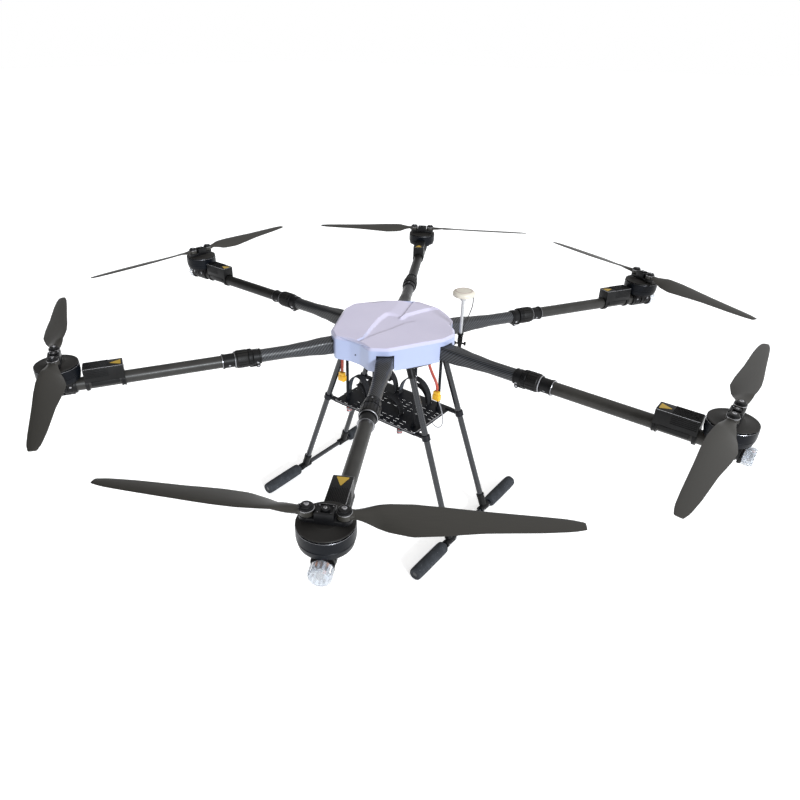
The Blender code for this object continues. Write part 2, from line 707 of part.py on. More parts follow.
def smooth_route(points, spacing):
    """Points every spacing or so along a smooth curve through the given points."""
    points = [Vector(point) for point in points]
    route = [points[0]]
    for k in range(len(points) - 1):
        before = points[k - 1] if k else points[0] * 2 - points[1]
        start, end = points[k], points[k + 1]
        after = points[k + 2] if k + 2 < len(points) else end * 2 - start
        steps = max(1, round((end - start).length / spacing))
        for step in range(1, steps + 1):
            t = step / steps
            route.append(
                0.5 * (2 * start + (end - before) * t
                       + (2 * before - 5 * start + 4 * end - after) * t ** 2
                       + (3 * start - before - 3 * end + after) * t ** 3)
            )
    return route


def cord(name, points, radius, finish):
    curve = bpy.data.curves.new(name, "CURVE")
    curve.dimensions = "3D"
    curve.bevel_depth = radius
    curve.bevel_resolution = 2
    curve.use_fill_caps = True
    spline = curve.splines.new("POLY")
    route = smooth_route(points, 5 * radius)
    spline.points.add(len(route) - 1)
    for point, place in zip(spline.points, route):
        point.co = (*place, 1.0)
    curve.materials.append(finish)
    made = bpy.data.objects.new(name, curve)
    DRONE.objects.link(made)
    return made


def plug_mesh(lead):
    """A power connector hanging from the end of its lead."""
    end = Vector(lead[-1]) - Vector((0, 0, GAP + PLUG_SIZE[2] / 2))
    body = blocks((PLUG_SIZE, end))
    trim = body.modifiers.new("edges", "BEVEL")
    trim.width = 0.0015
    trim.segments = 1
    return fused(body)


def add_airframe():
    node("canopy", canopy_mesh(), SHELL, smooth=20)
    node("center_frame", frame_mesh(), CARBON)
    for side, side_name in ((1, "left"), (-1, "right")):
        for end, end_name in ((-1, "front"), (1, "rear")):
            node("leg_" + end_name + "_" + side_name, leg_mesh(side, end), GLOSS_TUBE)
        node("skid_" + side_name, skid_mesh(side), FOAM)
    node("battery_tray", tray_mesh(), ANODISED)
    for name, (y, arches) in STRAPS.items():
        node(name, strap_mesh(y, arches), WEBBING)
    for name, route in LEADS.items():
        cord("power_lead_" + name, route, LEAD_R, LEAD_RED)
        node("power_plug_" + name, plug_mesh(route), PLUG_YELLOW)


def add_mast():
    place = mast_frame()
    pieces = [
        node("gps_mount", gps_mount_mesh(), ANODISED),
        node("gps_mast", gps_mast_mesh(), PUCK_WHITE),
        cord("gps_cable", CABLE_ROUTE, CABLE_R, CABLE_BLACK),
    ]
    for piece in pieces:
        piece.matrix_world = place


add_arms()
add_airframe()
add_mast()
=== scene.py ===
# %% [markdown]
# # A folding six-arm drone
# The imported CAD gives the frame: bodies, joints, sizes. Everything here is the drone's look, built
# around that frame piece by piece. Positions come from the same measures that the CAD was drawn to.

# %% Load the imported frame
import math

import bpy
from mathutils import Matrix, Vector
from mathutils.geometry import delaunay_2d_cdt


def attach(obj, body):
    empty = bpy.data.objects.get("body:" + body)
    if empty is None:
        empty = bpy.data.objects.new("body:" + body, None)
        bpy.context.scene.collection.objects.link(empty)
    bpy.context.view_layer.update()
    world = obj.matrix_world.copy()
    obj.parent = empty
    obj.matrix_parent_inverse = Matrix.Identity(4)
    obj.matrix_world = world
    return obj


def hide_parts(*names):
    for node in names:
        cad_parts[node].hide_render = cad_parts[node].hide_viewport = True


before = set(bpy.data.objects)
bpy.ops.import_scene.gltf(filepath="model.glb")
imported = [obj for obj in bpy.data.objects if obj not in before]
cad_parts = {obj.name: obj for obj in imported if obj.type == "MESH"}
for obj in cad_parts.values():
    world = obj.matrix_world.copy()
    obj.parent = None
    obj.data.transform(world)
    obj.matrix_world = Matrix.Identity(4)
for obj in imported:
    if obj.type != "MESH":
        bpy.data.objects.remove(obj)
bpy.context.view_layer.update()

# %% [markdown]
# ## The camera first
# The cords must lie inside the camera's view, so the camera stands before they are made. The
# camera looks down on the drone from its front left, with a little lens shift for the framing.

# %% Camera
camera_data = bpy.data.cameras.new("camera")
camera_data.sensor_width = 36
camera_data.lens = 27.854
camera_data.shift_x = 0.03551
camera_data.shift_y = -0.00772
camera = bpy.data.objects.new("camera", camera_data)
camera.location = (0.89103, -1.19503, 1.18416)
camera.rotation_euler = [math.radians(a) for a in (60.2455, -0.3150, 39.1182)]
bpy.context.collection.objects.link(camera)
bpy.context.scene.camera = camera
bpy.context.scene.view_settings.view_transform = "Standard"

# %% [markdown]
# ## The measures
# Each arm is modelled once, along +X, and copied to its place. Distances along the arm are from the
# middle of the airframe; heights are from the ground.

# %% Measures shared with the CAD
HUB = 0.800                 # motor axis
ARM_Z = 0.511               # axis of the arm tubes
PROP_Z = 0.585
ARMS = {"front_left": -60, "left": 0, "rear_left": 60,
        "rear_right": 120, "right": 180, "front_right": 240}
CLOCKWISE = ("left", "rear_right", "front_right")
REST_TURN = {"front_left": (5.1, -2.1), "left": (3.1, 0.5), "rear_left": (8.5, 2.7),
             "rear_right": (5.0, -0.9), "right": (-2.2, 1.0), "front_right": (-2.1, 0.1)}
HINGE_X, HINGE_Z = 0.363, 0.491
PIVOT = 0.0285              # blade pivot from the motor's axis
PLATE_Z = 0.4865            # underside of the lower frame plate
SKID_X, SKID_Z = 0.270, 0.017
LEG_TOP, LEG_FOOT = Vector((0.103, 0.072, PLATE_Z)), Vector((SKID_X, 0.090, SKID_Z))
TRAY_Z, TRAY_T = 0.2985, 0.0025
TRAY_X, TRAY_Y = 0.140, 0.090
HANGER_X, HANGER_Y = 0.114, 0.058
MAST_PIVOT_Z, PUCK_Z = 0.520, 0.634
MAST = Matrix.Rotation(math.radians(27.2), 4, "Z") @ Matrix.Translation((0.1725, 0, MAST_PIVOT_Z))

# %% [markdown]
# ## A small set of workshop habits
# Blender's operators act on whatever is selected, so every step starts by clearing the selection.
# Finished pieces keep their place in the mesh: location, turn and scale are applied.

# %% Selecting and applying
def deselect():
    if bpy.context.object and bpy.context.object.mode != "OBJECT":
        bpy.ops.object.mode_set(mode="OBJECT")
    bpy.ops.object.select_all(action="DESELECT")


def take(*pieces):
    deselect()
    for piece in pieces:
        piece.select_set(True)
    bpy.context.view_layer.objects.active = pieces[0]


def settle(piece):
    take(piece)
    for modifier in list(piece.modifiers):
        bpy.ops.object.modifier_apply(modifier=modifier.name)
    bpy.ops.object.transform_apply(location=True, rotation=True, scale=True)
    return piece

# %% Edit mode
def edit(piece, kind="FACE", wanted=None):
    """Edit mode with the elements chosen by wanted(centre, direction), or all of them."""
    take(piece)
    bpy.ops.object.mode_set(mode="EDIT")
    bpy.ops.mesh.select_mode(type=kind)
    bpy.ops.mesh.select_all(action="SELECT" if wanted is None else "DESELECT")
    if wanted is None:
        return
    bpy.ops.object.mode_set(mode="OBJECT")
    mesh = piece.data
    if kind == "FACE":
        for face in mesh.polygons:
            face.select = bool(wanted(face.center, face.normal))
    else:
        for edge in mesh.edges:
            a, b = (mesh.vertices[k].co for k in edge.vertices)
            edge.select = bool(wanted((a + b) / 2, b - a))
    bpy.ops.object.mode_set(mode="EDIT")


def done(piece, smooth=35):
    bpy.ops.object.mode_set(mode="OBJECT")
    take(piece)
    bpy.ops.object.shade_smooth_by_angle(angle=math.radians(smooth))
    return piece

# %% Broken edges
def trim(piece, width, segments=2, angle=30):
    """Breaks the sharp edges, as a real part's are."""
    if width:
        bevel = piece.modifiers.new("edges", "BEVEL")
        bevel.width = width
        bevel.segments = segments
        bevel.limit_method = "ANGLE"
        bevel.angle_limit = math.radians(angle)
    settle(piece)
    bpy.ops.object.shade_smooth_by_angle(angle=math.radians(35))
    return piece

# %% [markdown]
# ## Stock
# Most of the drone starts as four kinds of stock: a block, a rod, a turned part and a wrapped tube.
# A real shop would mill or lathe these; here a primitive, Spin in edit mode and a bevel do it.

# %% Blocks and rods
def block(size, centre, edge=0.0006, turn=(0, 0, 0), name="block"):
    deselect()
    bpy.ops.mesh.primitive_cube_add(size=1, location=centre, rotation=turn)
    piece = bpy.context.object
    piece.name = name
    piece.scale = size
    return trim(settle(piece), edge)


def rod(start, end, radius, sides=24, edge=0.0, name="rod"):
    start, end = Vector(start), Vector(end)
    run = end - start
    deselect()
    bpy.ops.mesh.primitive_cylinder_add(
        vertices=sides, radius=radius, depth=run.length, location=(start + end) / 2,
        rotation=run.to_track_quat("Z", "Y").to_euler(),
    )
    piece = bpy.context.object
    piece.name = name
    return trim(settle(piece), edge)

# %% Turned parts
ALONG = {"Z": Matrix(), "X": Matrix.Rotation(math.pi / 2, 4, "Y"),
         "Y": Matrix.Rotation(-math.pi / 2, 4, "X")}


def turned(profile, centre=(0, 0, 0), axis="Z", steps=40, closed=False, smooth=30, name="turned"):
    """A lathe part: the (radius, height) profile spun about its axis."""
    mesh = bpy.data.meshes.new(name)
    links = [(k, k + 1) for k in range(len(profile) - 1)]
    if closed:
        links.append((len(profile) - 1, 0))
    mesh.from_pydata([(r, 0, z) for r, z in profile], links, [])
    piece = bpy.data.objects.new(name, mesh)
    bpy.context.collection.objects.link(piece)
    edit(piece, "VERT")
    bpy.ops.mesh.spin(steps=steps, angle=2 * math.pi, center=(0, 0, 0), axis=(0, 0, 1))
    bpy.ops.mesh.select_all(action="SELECT")
    bpy.ops.mesh.remove_doubles(threshold=0.00002)
    bpy.ops.mesh.normals_make_consistent(inside=False)
    done(piece, smooth)
    mesh.transform(Matrix.Translation(centre) @ ALONG[axis])
    return piece

# %% Wrapped tubes
def wrapped(along, around, place, size=(1, 1), caps=True, smooth=40, name="wrapped"):
    """A grid rolled into a tube: place(u, v) gives each point, u along it and v round it."""
    deselect()
    bpy.ops.mesh.primitive_grid_add(x_subdivisions=along, y_subdivisions=around, size=1)
    piece = bpy.context.object
    piece.name = name
    for vert in piece.data.vertices:
        vert.co = place(vert.co.x + 0.5, vert.co.y + 0.5)
    for corner in piece.data.uv_layers.active.data:
        corner.uv = (corner.uv[0] * size[0], corner.uv[1] * size[1])
    edit(piece)
    bpy.ops.mesh.remove_doubles(threshold=0.00001)
    if caps:
        bpy.ops.mesh.fill_holes(sides=0)
    bpy.ops.mesh.select_all(action="SELECT")
    bpy.ops.mesh.normals_make_consistent(inside=False)
    return done(piece, smooth)

# %% Joining and repeating
def joined(name, *pieces):
    take(*pieces)
    if len(pieces) > 1:
        bpy.ops.object.join()
    pieces[0].name = name
    pieces[0].data.name = name
    return pieces[0]


def repeated(piece, *matrices):
    """Copies of a piece, each with its own mesh, moved by the given matrices."""
    made = []
    for matrix in matrices:
        copy = piece.copy()
        copy.data = piece.data.copy()
        copy.data.transform(matrix)
        bpy.context.collection.objects.link(copy)
        made.append(copy)
    bpy.data.objects.remove(piece)
    return made


def shift(x=0.0, y=0.0, z=0.0):
    return Matrix.Translation((x, y, z))


def spun(degrees, centre=(0, 0, 0), axis="Z"):
    about = Matrix.Translation(centre)
    return about @ Matrix.Rotation(math.radians(degrees), 4, axis) @ about.inverted()


def mirrored(x=1, y=1):
    return Matrix.Diagonal((x, y, 1, 1))

# %% Cuts and screws
def cut(piece, *tools):
    for tool in tools:
        change = piece.modifiers.new("cut", "BOOLEAN")
        change.operation = "DIFFERENCE"
        change.object = tool
    settle(piece)
    for tool in tools:
        bpy.data.objects.remove(tool)
    bpy.ops.object.shade_smooth_by_angle(angle=math.radians(35))
    return piece


def screw(centre, direction, radius=0.0022, name="screw"):
    """A socket-head screw: a low dome with a hexagonal recess."""
    head = turned([(0, -0.0010), (radius, -0.0010), (radius, 0.0008), (radius * 0.8, 0.0014),
                   (radius * 0.5, 0.0015), (radius * 0.45, 0.0004), (0, 0.0004)], steps=12,
                  name=name)
    turn = Vector(direction).to_track_quat("Z", "Y").to_matrix().to_4x4()
    head.data.transform(Matrix.Translation(centre) @ turn)
    return head

# %% [markdown]
# ## Handing pieces over
# Every piece rides on a CAD body, and a piece that stands for a CAD node hides it. What the six arms
# share is modelled once and copied, each copy with a mesh of its own.

# %% Handing over
def dressed(piece, finish):
    piece.data.materials.clear()
    piece.data.materials.append(finish)
    return piece


def hand_over(piece, name, body, slot, *nodes):
    piece.name = name
    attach(piece, body)
    if nodes:
        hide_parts(*nodes)
    return piece

# %% Pieces that come six times
def arm_body(name):
    return "arm_" + name


def airframe_body(name):
    """Roots don't fold, so whichever arm is named they ride on the airframe."""
    return "airframe"


def collar_body(name):
    return "collar_" + name


def rotor_body(name):
    return "rotor_" + name


def on_each_arm(piece, label, slot, body_of=arm_body, node=None):
    """Copies the piece to all six arms and hands each copy over."""
    for name, angle in ARMS.items():
        copy = bpy.data.objects.new(label + "_" + name, piece.data.copy())
        copy.data.transform(Matrix.Rotation(math.radians(angle), 4, "Z"))
        # Some arms take a darker copy of their finish here, painted shade, and one a paler copy,
        # painted light.
        copy.data.materials[0] = ARM_PAINTED_LIGHT_AND_SHADE.get((label, name), copy.data.materials[0])
        bpy.context.collection.objects.link(copy)
        nodes = [node + "_" + name] if node else []
        hand_over(copy, label + "_" + name, body_of(name), slot, *nodes)
    print(label, "x 6,", len(piece.data.polygons), "faces each")
    bpy.data.objects.remove(piece)

# %% [markdown]
# ## Finishes
# Every finish is built from nodes on Object coordinates, or on a piece's own UV where a weave
# follows the surface: a slow mottle for uneven colour, and a fine grain that drives the roughness
# and the bump.

# %% Node helpers
def new_finish(name, rough, metallic=0.0, coat=0.0, spec=0.5):
    made = bpy.data.materials.new(name)
    made.use_nodes = True
    shader = made.node_tree.nodes["Principled BSDF"]
    shader.inputs["Roughness"].default_value = rough
    shader.inputs["Metallic"].default_value = metallic
    shader.inputs["Coat Weight"].default_value = coat
    shader.inputs["Coat Roughness"].default_value = 0.12
    shader.inputs["Specular IOR Level"].default_value = spec
    return made, made.node_tree, shader


def add(tree, kind, **values):
    made = tree.nodes.new("ShaderNode" + kind)
    for key, value in values.items():
        if key in made.inputs:
            made.inputs[key].default_value = value
        else:
            setattr(made, key, value)
    return made


def sums(tree, operation, a, b=None, c=None):
    made = add(tree, "Math", operation=operation)
    for k, value in enumerate((a, b, c)):
        if value is None:
            continue
        if isinstance(value, (int, float)):
            made.inputs[k].default_value = value
        else:
            tree.links.new(value, made.inputs[k])
    return made.outputs[0]

# %% Ramps, noise and bump
def ramp(tree, factor, *stops):
    made = add(tree, "ValToRGB")
    elements = made.color_ramp.elements
    while len(elements) < len(stops):
        elements.new(0.5)
    for element, (place, colour) in zip(elements, stops):
        element.position = place
        element.color = (*colour, 1)
    tree.links.new(factor, made.inputs[0])
    return made.outputs[0]


def noise(tree, vector, scale, detail=3.0):
    made = add(tree, "TexNoise", Scale=scale, Detail=detail)
    tree.links.new(vector, made.inputs["Vector"])
    return made.outputs["Fac"]


def bump(tree, height, distance, strength=0.6):
    made = add(tree, "Bump", Strength=strength, Distance=distance)
    tree.links.new(height, made.inputs["Height"])
    return made.outputs["Normal"]


def spread(tree, factor, low, high):
    made = add(tree, "MapRange")
    made.inputs["To Min"].default_value = low
    made.inputs["To Max"].default_value = high
    tree.links.new(factor, made.inputs["Value"])
    return made.outputs["Result"]


def shade(colour, k):
    return tuple(min(1.0, max(0.0, c * k)) for c in colour)

# %% [markdown]
# ## The plain finish
# Paint, metal and plastic all vary a little from place to place, and a flat colour gives a model
# away at once. One helper makes them all: a slow noise shifts the colour, a fine one the shine.

# %% The plain finish
def mottled(name, colour, rough, metallic=0.0, coat=0.0, spec=0.5, slow=35, fine=1400,
            contrast=0.18, grain=0.00006, wear=None):
    """A plain finish: uneven colour, a fine grain, and rubbed specks if wear gives their colour."""
    made, tree, shader = new_finish(name, rough, metallic, coat, spec)
    place = add(tree, "TexCoord").outputs["Object"]
    tone = ramp(tree, noise(tree, place, slow),
                (0.3, shade(colour, 1 - contrast)), (0.7, shade(colour, 1 + contrast)))
    if wear:
        rubbed = ramp(tree, noise(tree, place, 260, 6), (0.66, (0, 0, 0)), (0.74, (1, 1, 1)))
        mix = add(tree, "Mix", data_type="RGBA")
        tree.links.new(rubbed, mix.inputs["Factor"])
        tree.links.new(tone, mix.inputs[6])
        mix.inputs[7].default_value = (*wear, 1)
        tone = mix.outputs[2]
    tree.links.new(tone, shader.inputs["Base Color"])
    grains = noise(tree, place, fine, 2)
    tree.links.new(spread(tree, grains, rough * 0.8, min(1.0, rough * 1.25)),
                   shader.inputs["Roughness"])
    tree.links.new(bump(tree, grains, grain), shader.inputs["Normal"])
    return made

# %% [markdown]
# ## Metals, paints and plastics
# Black hides its differences, so each black part has its own roughness and sheen. The wear colour
# puts a few rubbed specks on metal that hands and tools touch.

# %% Metals, paints and plastics
BLACK_METAL = mottled("black_metal", (0.0060, 0.0060, 0.0064), 0.42, 0.15, spec=0.18,
                      wear=(0.028, 0.028, 0.032))
COLLAR_METAL = mottled("collar_metal", (0.0075, 0.0072, 0.0070), 0.46, 0.1, spec=0.22)
BRIGHT_METAL = mottled("bright_metal", (0.34, 0.34, 0.36), 0.28, 1.0, contrast=0.12)
SCREW_METAL = mottled("screw_metal", (0.42, 0.42, 0.44), 0.25, 1.0, contrast=0.1)
# The bell's wall is painted darker and bluer than its top: painted shade and cool light on the
# upright side.
MOTOR_TOP = mottled("motor_top", (0.0130, 0.0120, 0.0110), 0.50, 0.1, spec=0.3, contrast=0.15)
MOTOR_SIDE_PAINTED_SHADE = mottled("motor_side_painted_shade", (0.0026, 0.0036, 0.0058), 0.36, 0.05, spec=0.14, contrast=0.15)
# Near-black matte: painted shade for the inside of the bell's slots, and the canopy screws' own
# black.
SLOT_SHADE_AND_SCREW_BLACK = mottled("slot_shade_and_screw_black", (0.004, 0.004, 0.005), 0.8)
HUB_BLACK = mottled("hub_black", (0.0060, 0.0060, 0.0068), 0.34, 0.2, spec=0.25,
                    wear=(0.03, 0.03, 0.034))
PLAIN_TUBE = mottled("plain_tube", (0.0210, 0.0200, 0.0182), 0.40, contrast=0.18, coat=0.03,
                     spec=0.3)
GLOSS_TUBE = mottled("gloss_tube_finish", (0.0030, 0.0045, 0.0080), 0.24, coat=0.15, spec=0.6,
                     contrast=0.2)
# Darker and paler copies of the plain tube for single arms: painted shade and painted light.
TUBE_PAINTED_SHADE = mottled("tube_painted_shade", (0.0085, 0.0080, 0.0075), 0.42, contrast=0.2, spec=0.22)
TUBE_PAINTED_LIGHT = mottled("tube_painted_light", (0.0260, 0.0245, 0.0220), 0.40, contrast=0.18, coat=0.03, spec=0.3)
TRAY_BLACK = mottled("tray_black", (0.0050, 0.0058, 0.0085), 0.46, spec=0.2,
                     wear=(0.016, 0.017, 0.021))
HOUSING_BLACK = mottled("housing_black", (0.0058, 0.0058, 0.0060), 0.40, 0.05, spec=0.2,
                        contrast=0.2)
MARK_YELLOW = mottled("mark_yellow", (0.44, 0.28, 0.025), 0.45, contrast=0.1)
PUCK_CREAM = mottled("puck_cream", (0.60, 0.56, 0.48), 0.42, contrast=0.04, coat=0.1)
PUCK_RING = mottled("puck_ring", (0.42, 0.34, 0.31), 0.45, contrast=0.05)
MAST_WHITE = mottled("mast_white", (0.46, 0.46, 0.47), 0.32, 0.3, contrast=0.06)
SHEATH_RED = mottled("sheath_red", (0.33, 0.030, 0.022), 0.42, contrast=0.12)
SHEATH_ORANGE = mottled("sheath_orange", (0.46, 0.085, 0.035), 0.42, contrast=0.12)
PLUG_YELLOW = mottled("plug_yellow_finish", (0.78, 0.42, 0.02), 0.38, contrast=0.08)
WIRE_WHITE = mottled("wire_white", (0.27, 0.27, 0.29), 0.45, contrast=0.06)
WIRE_BLACK = mottled("wire_black", (0.012, 0.012, 0.013), 0.5)
DAMPER_CLEAR = mottled("damper_clear", (0.20, 0.20, 0.21), 0.25, 0.3, contrast=0.35)
DAMPER_RED = mottled("damper_red", (0.60, 0.10, 0.09), 0.5)
FOAM = mottled("foam_charcoal", (0.030, 0.033, 0.038), 0.9, spec=0.2, slow=60, fine=420,
               contrast=0.25, grain=0.0009, wear=(0.16, 0.17, 0.18))
COPPER = mottled("copper", (0.42, 0.16, 0.06), 0.32, 0.9, contrast=0.2)
LAMP_CORE = mottled("lamp_core", (0.07, 0.07, 0.075), 0.4, 0.4)
LAMP_RED = mottled("lamp_red", (0.55, 0.05, 0.04), 0.4)
LAMP_WHITE = mottled("lamp_white", (0.70, 0.75, 0.82), 0.35, contrast=0.06)

# %% [markdown]
# ## Carbon cloth
# The roots show a 2/2 twill: each tow passes over two and under two, one step further along in
# every row, which draws the diagonal. UV is in metres, so floor(u / tow) and floor(v / tow) number
# the tows, and their sum modulo four says which one lies on top.

# %% Carbon twill
def twill(name, tow, over, under, rough=0.30, coat=0.7):
    made, tree, shader = new_finish(name, rough, 0.0, coat)
    split = add(tree, "SeparateXYZ")
    tree.links.new(add(tree, "TexCoord").outputs["UV"], split.inputs[0])
    along = sums(tree, "DIVIDE", split.outputs[0], tow)
    across = sums(tree, "DIVIDE", split.outputs[1], tow)
    number = sums(tree, "ADD", sums(tree, "FLOOR", along), sums(tree, "FLOOR", across))
    on_top = sums(tree, "LESS_THAN", sums(tree, "FLOORED_MODULO", number, 4.0), 2.0)
    mix = add(tree, "Mix", data_type="RGBA")
    tree.links.new(on_top, mix.inputs["Factor"])
    mix.inputs[6].default_value = (*under, 1)
    mix.inputs[7].default_value = (*over, 1)
    tree.links.new(mix.outputs[2], shader.inputs["Base Color"])
    ridges = [sums(tree, "ABSOLUTE", sums(tree, "SINE", sums(tree, "MULTIPLY", way, math.pi)))
              for way in (along, across)]
    height = add(tree, "Mix")
    tree.links.new(on_top, height.inputs["Factor"])
    tree.links.new(ridges[0], height.inputs[2])
    tree.links.new(ridges[1], height.inputs[3])
    tree.links.new(bump(tree, height.outputs[0], 0.00015, 0.5), shader.inputs["Normal"])
    tree.links.new(spread(tree, on_top, rough * 1.35, rough * 0.85), shader.inputs["Roughness"])
    return made


CARBON_TWILL = twill("carbon_twill_finish", 0.0021, (0.034, 0.037, 0.044), (0.0022, 0.0022, 0.0026),
                     0.36, 0.0)

# A darker copy of the twill for single roots: painted shade.
TWILL_PAINTED_SHADE = twill("twill_painted_shade", 0.0021, (0.0140, 0.0150, 0.0175), (0.0015, 0.0015, 0.0018), 0.40,
                   0.05)

# %% [markdown]
# ## Arms that look darker or paler
# Some arms take darker copies of the tube and twill finishes as painted shade, and one takes a paler
# copy of the tube finish as painted light.
# These pieces take a finish of their own in place of the common one.

# %% Painted shade and light of single arms
ARM_PAINTED_LIGHT_AND_SHADE = {("outer_tube", "right"): TUBE_PAINTED_SHADE, ("outer_tube", "rear_right"): TUBE_PAINTED_SHADE,
              ("outer_tube", "left"): TUBE_PAINTED_LIGHT, ("root_shell", "right"): TWILL_PAINTED_SHADE,
              ("root_shell", "rear_right"): TWILL_PAINTED_SHADE, ("root_shell", "front_left"): TWILL_PAINTED_SHADE}
print(len(ARM_PAINTED_LIGHT_AND_SHADE), "pieces differ from their twins")

# %% Plate weave
def plate_twill(name):
    """The same weave on flat plates, on Object coordinates."""
    made = twill(name, 0.0025, (0.020, 0.021, 0.023), (0.006, 0.006, 0.0065), 0.4, 0.2)
    tree = made.node_tree
    split = next(n for n in tree.nodes if n.type == "SEPXYZ")
    source = next(n for n in tree.nodes if n.type == "TEX_COORD")
    tree.links.new(source.outputs["Object"], split.inputs[0])
    return made


CARBON_PLATE = plate_twill("carbon_plate_finish")

# %% [markdown]
# ## Moulded blades, webbing and the canopy's paint
# The blades have long fibres under a matte skin, so their noise is stretched along the blade by a
# Mapping node. Webbing is ribbed across its width. The canopy's paint is a pale lilac, and its
# upright
# walls are painted darker and bluer: painted cool light and shade.

# %% Blade skin
def blade_finish():
    made, tree, shader = new_finish("blade_skin", 0.38, 0.0, 0.0, 0.5)
    stretch = add(tree, "Mapping")
    stretch.inputs["Scale"].default_value = (6.0, 260.0, 1.0)
    tree.links.new(add(tree, "TexCoord").outputs["UV"], stretch.inputs["Vector"])
    fibres = noise(tree, stretch.outputs[0], 5.0, 5)
    tone = ramp(tree, fibres, (0.3, (0.0160, 0.0146, 0.0115)), (0.7, (0.0225, 0.0205, 0.0162)))
    tree.links.new(tone, shader.inputs["Base Color"])
    tree.links.new(spread(tree, fibres, 0.34, 0.5), shader.inputs["Roughness"])
    tree.links.new(bump(tree, fibres, 0.0001, 0.3), shader.inputs["Normal"])
    return made

# %% Webbing
def webbing_finish(name, dark, light):
    made, tree, shader = new_finish(name, 0.85, spec=0.25)
    split = add(tree, "SeparateXYZ")
    tree.links.new(add(tree, "TexCoord").outputs["UV"], split.inputs[0])
    waves = [sums(tree, "ABSOLUTE", sums(tree, "SINE", sums(tree, "MULTIPLY", way, math.pi / step)))
             for way, step in ((split.outputs[0], 0.0011), (split.outputs[1], 0.0016))]
    weave = sums(tree, "MULTIPLY", *waves)
    tree.links.new(ramp(tree, weave, (0.1, dark), (0.9, light)), shader.inputs["Base Color"])
    tree.links.new(bump(tree, weave, 0.0003), shader.inputs["Normal"])
    return made

# %% Canopy paint, with painted light and shade on its walls
def shell_finish():
    made, tree, shader = new_finish("canopy_paint_and_wall_light", 0.34, 0.0, 0.35)
    coords = add(tree, "TexCoord")
    split = add(tree, "SeparateXYZ")
    tree.links.new(coords.outputs["Normal"], split.inputs[0])
    # Upright walls are painted darker and bluer than the top: painted cool light and shade, chosen
    # by which way the surface faces.
    painted_wall_light = ramp(tree, split.outputs[2], (0.35, (0.335, 0.385, 0.560)), (0.93, (0.62, 0.585, 0.73)))
    cloudy = noise(tree, coords.outputs["Object"], 9.0, 4)
    tint = ramp(tree, cloudy, (0.3, (0.94, 0.94, 0.96)), (0.7, (1.0, 1.0, 1.0)))
    mix = add(tree, "Mix", data_type="RGBA", blend_type="MULTIPLY")
    mix.inputs["Factor"].default_value = 1.0
    tree.links.new(painted_wall_light, mix.inputs[6])
    tree.links.new(tint, mix.inputs[7])
    tree.links.new(mix.outputs[2], shader.inputs["Base Color"])
    orange_peel = noise(tree, coords.outputs["Object"], 700.0, 2)
    tree.links.new(spread(tree, orange_peel, 0.30, 0.40), shader.inputs["Roughness"])
    tree.links.new(bump(tree, orange_peel, 0.00005, 0.4), shader.inputs["Normal"])
    return made


BLADE_SKIN = blade_finish()
WEBBING = webbing_finish("webbing_black", (0.006, 0.006, 0.007), (0.030, 0.031, 0.035))
WEBBING_GREY = webbing_finish("webbing_grey", (0.030, 0.034, 0.042), (0.085, 0.095, 0.115))
CANOPY_PAINT_AND_WALL_LIGHT = shell_finish()

# %% Clear plastic of the lamps
def clear_plastic():
    made, tree, shader = new_finish("lamp_clear", 0.08, 0.0, 0.4)
    shader.inputs["Transmission Weight"].default_value = 0.75
    place = add(tree, "TexCoord").outputs["Object"]
    haze = noise(tree, place, 120.0)
    tree.links.new(ramp(tree, haze, (0.3, (0.80, 0.84, 0.90)), (0.7, (0.95, 0.97, 1.0))),
                   shader.inputs["Base Color"])
    tree.links.new(spread(tree, haze, 0.05, 0.16), shader.inputs["Roughness"])
    return made


LAMP_CLEAR = clear_plastic()
print(len(bpy.data.materials), "finishes")

# %% [markdown]
# ## Arm roots
# Each root leaves the canopy as a nearly square carbon moulding and narrows to a round sleeve. A
# grid is rolled into that shape ring by ring: a superellipse whose power falls from 8 to 2.

# %% Carbon roots
ROOT_SECTIONS = ((0.118, 0.0205, 0.0195, 8.0), (0.190, 0.0200, 0.0190, 5.0),
                 (0.240, 0.0175, 0.0170, 3.0), (0.290, 0.016, 0.016, 2.0),
                 (0.362, 0.016, 0.016, 2.0))


def smoothed(sections, x):
    for near, far in zip(sections, sections[1:]):
        if x <= far[0]:
            t = max(0.0, (x - near[0]) / (far[0] - near[0]))
            t = t * t * (3 - 2 * t)
            return [a + (b - a) * t for a, b in zip(near[1:], far[1:])]
    return sections[-1][1:]


def root_skin(u, v):
    """A point of the root shell: superellipse sections that go from square to round."""
    x = ROOT_SECTIONS[0][0] + u * (ROOT_SECTIONS[-1][0] - ROOT_SECTIONS[0][0])
    half_width, half_height, power = smoothed(ROOT_SECTIONS, x)
    angle = 2 * math.pi * v
    c, s = math.cos(angle), math.sin(angle)
    reach = (abs(c) ** power + abs(s) ** power) ** (-1 / power)
    return (x, half_width * c * reach, ARM_Z + half_height * s * reach)


root = dressed(wrapped(40, 48, root_skin, size=(0.244, 0.120)), CARBON_TWILL)
on_each_arm(root, "root_shell", "carbon_twill", airframe_body, "arm_root")

# %% [markdown]
# ## The fold coupling
# A metal sleeve ends each root. Below it a pin joins two ears to the outer arm's tongue, and the
# ribbed lock collar screws over the joint. The sleeve carries one bright screw.

